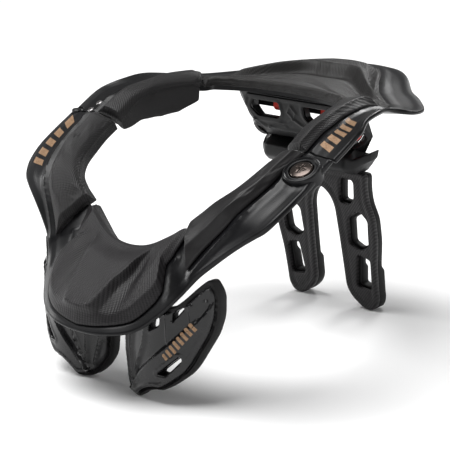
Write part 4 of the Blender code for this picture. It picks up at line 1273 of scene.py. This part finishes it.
def build_button(centre, normal):
    """The button's face as a fine disc with its dome and slot, over a straight wall."""
    bm = bmesh.new()
    turn = Vector((0, 0, 1)).rotation_difference(normal).to_matrix()
    sides, rings = 96, 40
    rows = []
    for j in range(rings + 1):
        radius = BUTTON_RADIUS * j / rings
        row = []
        for k, (x, y) in enumerate(circle(radius, sides)):
            height = BUTTON_PROUD + BUTTON_DOME * (1 - (radius / BUTTON_RADIUS) ** 2)
            height -= fillet(BUTTON_RADIUS - radius, 1.4)
            slot = min(abs(x), abs(y))
            height -= 0.9 * bump(slot, CROSS_WIDTH) * (1 - soft_step((radius - CROSS_REACH) / 0.6))
            row.append(bm.verts.new(centre + turn @ Vector((x, y, height))) if radius or not k else row[0])
        rows.append(row)
    wall = [bm.verts.new(centre + turn @ Vector((x, y, -BUTTON_LENGTH)))
            for x, y in circle(BUTTON_RADIUS, sides)]
    rows.append(wall)
    for k in range(sides):
        bm.faces.new((rows[0][0], rows[1][k], rows[1][(k + 1) % sides]))
    for first, second in zip(rows[1:], rows[2:]):
        for k in range(sides):
            j = (k + 1) % sides
            bm.faces.new((first[k], second[k], second[j], first[j]))
    bm.faces.new(wall)
    finish_piece(make_object("latch_button", bm, CHROME), "button", "dark chrome", "closure_button")


def band_patch(name, ring, corners, lift, finish):
    """A thin printed patch on a shell between four (station, share) corners."""
    steps = 8
    loops = []
    (s0, p0), (s1, p1), (s2, p2), (s3, p3) = corners
    for row in range(steps + 1):
        t = row / steps
        top = []
        bottom = []
        for column in range(steps + 1):
            u = column / steps
            station = (s0 * (1 - u) + s1 * u) * (1 - t) + (s3 * (1 - u) + s2 * u) * t
            share = (p0 * (1 - u) + p1 * u) * (1 - t) + (p3 * (1 - u) + p2 * u) * t
            height = shell_relief(ring, station, share)
            top.append(ring.point(station, share, height + lift))
            bottom.append(ring.point(station, share, height - 0.5))
        loops.append(top + bottom[::-1])
    return skin(name, loops, finish)


def build_print():
    """Plain slanted bars on the near rear arm and the far front arm."""
    for name, ring, first, pitch, high, low, lean, count in (
            ("rear_arm_bar_", REAR, 0.85, 0.70, 0.57, 0.80, -0.35, 5),
            ("front_arm_bar_", FRONT, 22.5, 0.62, 0.68, 0.88, 0.35, 5)):
        body = "rear" if ring is REAR else "front"
        for k in range(count):
            start = first + pitch * k
            end = start + pitch * 0.62
            corners = ((start, high), (end, high), (end + lean, low), (start + lean, low))
            finish_piece(band_patch(name + str(k), ring, corners, 0.12, BRONZE), body, "dark chrome")


SCREWS = ((29.72, 0.66), (28.95, 0.63))
SCREW_PROFILE = ((2.6, -1.0), (2.6, 0.4), (2.2, 0.8), (1.2, 0.9), (1.0, 0.2))


def build_screws():
    """Two small screws at the hinge end of the far rear arm."""
    for number, (station, share) in enumerate(SCREWS):
        height = shell_relief(REAR, station, share)
        screw = turned("hinge_screw_%d" % number, SCREW_PROFILE, REAR.point(station, share, height),
                       REAR.frame(station)[2], STEEL, 24)
        finish_piece(screw, "rear", "dark chrome")


build_closure()
build_print()
build_screws()


# The solids that are shown as they are


def dress(node, finish, bevel=0.0):
    """Give a CAD node its material, and a small rounded edge."""
    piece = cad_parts[node]
    for material_slot in piece.material_slots:
        material_slot.material = finish
    if bevel:
        edge = piece.modifiers.new("edge", "BEVEL")
        edge.width = bevel * MM
        edge.segments = 3
        edge.limit_method = "ANGLE"
        edge.angle_limit = math.radians(28.0)


for side in ("left", "right"):
    dress("adjuster_collar_" + side, RED, 0.6)
    dress("adjuster_lever_" + side, RED, 0.7)
dress("adjuster_pin", SHELL)
dress("hinge_barrel", SHELL)
dress("rear_lower_frame", FRAME_BLACK)


# Floor, light and camera

CAMERA_TARGET = Vector((0.0, -14.5, 100.5)) * MM
CAMERA_DISTANCE = 1.215
CAMERA_AZIMUTH = math.radians(42.28)
CAMERA_ELEVATION = math.radians(15.46)
CAMERA_LENS = 119.2
WORLD_STRENGTH = 0.16
FLOOR_HALF_WIDTH = 6.0
FLOOR_DROP = 0.0004
# Soft lights: name, place, size and power.
LAMPS = (
    ("left", (-1.3, -0.5, 0.45), 0.30, 4.5),
    ("top_back", (-0.3, 1.2, 1.0), 0.40, 6.5),
    ("right", (1.3, 0.5, 0.7), 0.25, 3.0),
    ("front", (0.9, -1.3, 0.35), 0.2, 2.2),
)
SUN_ENERGY = 3.4
SUN_ANGLE = 40.0
SUN_TILT = (12.0, -14.0)


def build_stage():
    """A pale floor under a white world, four soft lights and a wide sun."""
    mesh = bpy.data.meshes.new("floor")
    bm = bmesh.new()
    bmesh.ops.create_grid(bm, x_segments=1, y_segments=1, size=FLOOR_HALF_WIDTH)
    bm.to_mesh(mesh)
    bm.free()
    floor = bpy.data.objects.new("floor", mesh)
    floor.location.z = -FLOOR_DROP
    bpy.context.scene.collection.objects.link(floor)
    pale = Nodes("pale_floor")
    pale.set(Base_Color=(0.92, 0.92, 0.92, 1.0), Roughness=0.9)
    mesh.materials.append(pale.material)
    world = bpy.data.worlds.new("studio")
    world.use_nodes = True
    world.node_tree.nodes["Background"].inputs["Color"].default_value = (1.0, 1.0, 1.0, 1.0)
    world.node_tree.nodes["Background"].inputs["Strength"].default_value = WORLD_STRENGTH
    bpy.context.scene.world = world
    for name, place_at, size, power in LAMPS:
        lamp = bpy.data.lights.new(name, "AREA")
        lamp.size = size
        lamp.energy = power
        light = bpy.data.objects.new(name, lamp)
        light.location = place_at
        aim = CAMERA_TARGET - Vector(place_at)
        light.rotation_euler = aim.to_track_quat("-Z", "Y").to_euler()
        bpy.context.scene.collection.objects.link(light)
    sun_data = bpy.data.lights.new("sun", "SUN")
    sun_data.energy = SUN_ENERGY
    sun_data.angle = math.radians(SUN_ANGLE)
    sun = bpy.data.objects.new("sun", sun_data)
    sun.rotation_euler = (math.radians(SUN_TILT[0]), math.radians(SUN_TILT[1]), 0.0)
    bpy.context.scene.collection.objects.link(sun)


def build_camera():
    """The camera at the photograph's angle."""
    data = bpy.data.cameras.new("camera")
    data.lens = CAMERA_LENS
    data.sensor_width = 36.0
    camera = bpy.data.objects.new("camera", data)
    away = Vector((math.sin(CAMERA_AZIMUTH) * math.cos(CAMERA_ELEVATION),
                   -math.cos(CAMERA_AZIMUTH) * math.cos(CAMERA_ELEVATION), math.sin(CAMERA_ELEVATION)))
    camera.location = CAMERA_TARGET + away * CAMERA_DISTANCE
    camera.rotation_euler = (-away).to_track_quat("-Z", "Y").to_euler()
    bpy.context.scene.collection.objects.link(camera)
    bpy.context.scene.camera = camera


build_stage()
build_camera()
bpy.context.scene.view_settings.view_transform = "Standard"
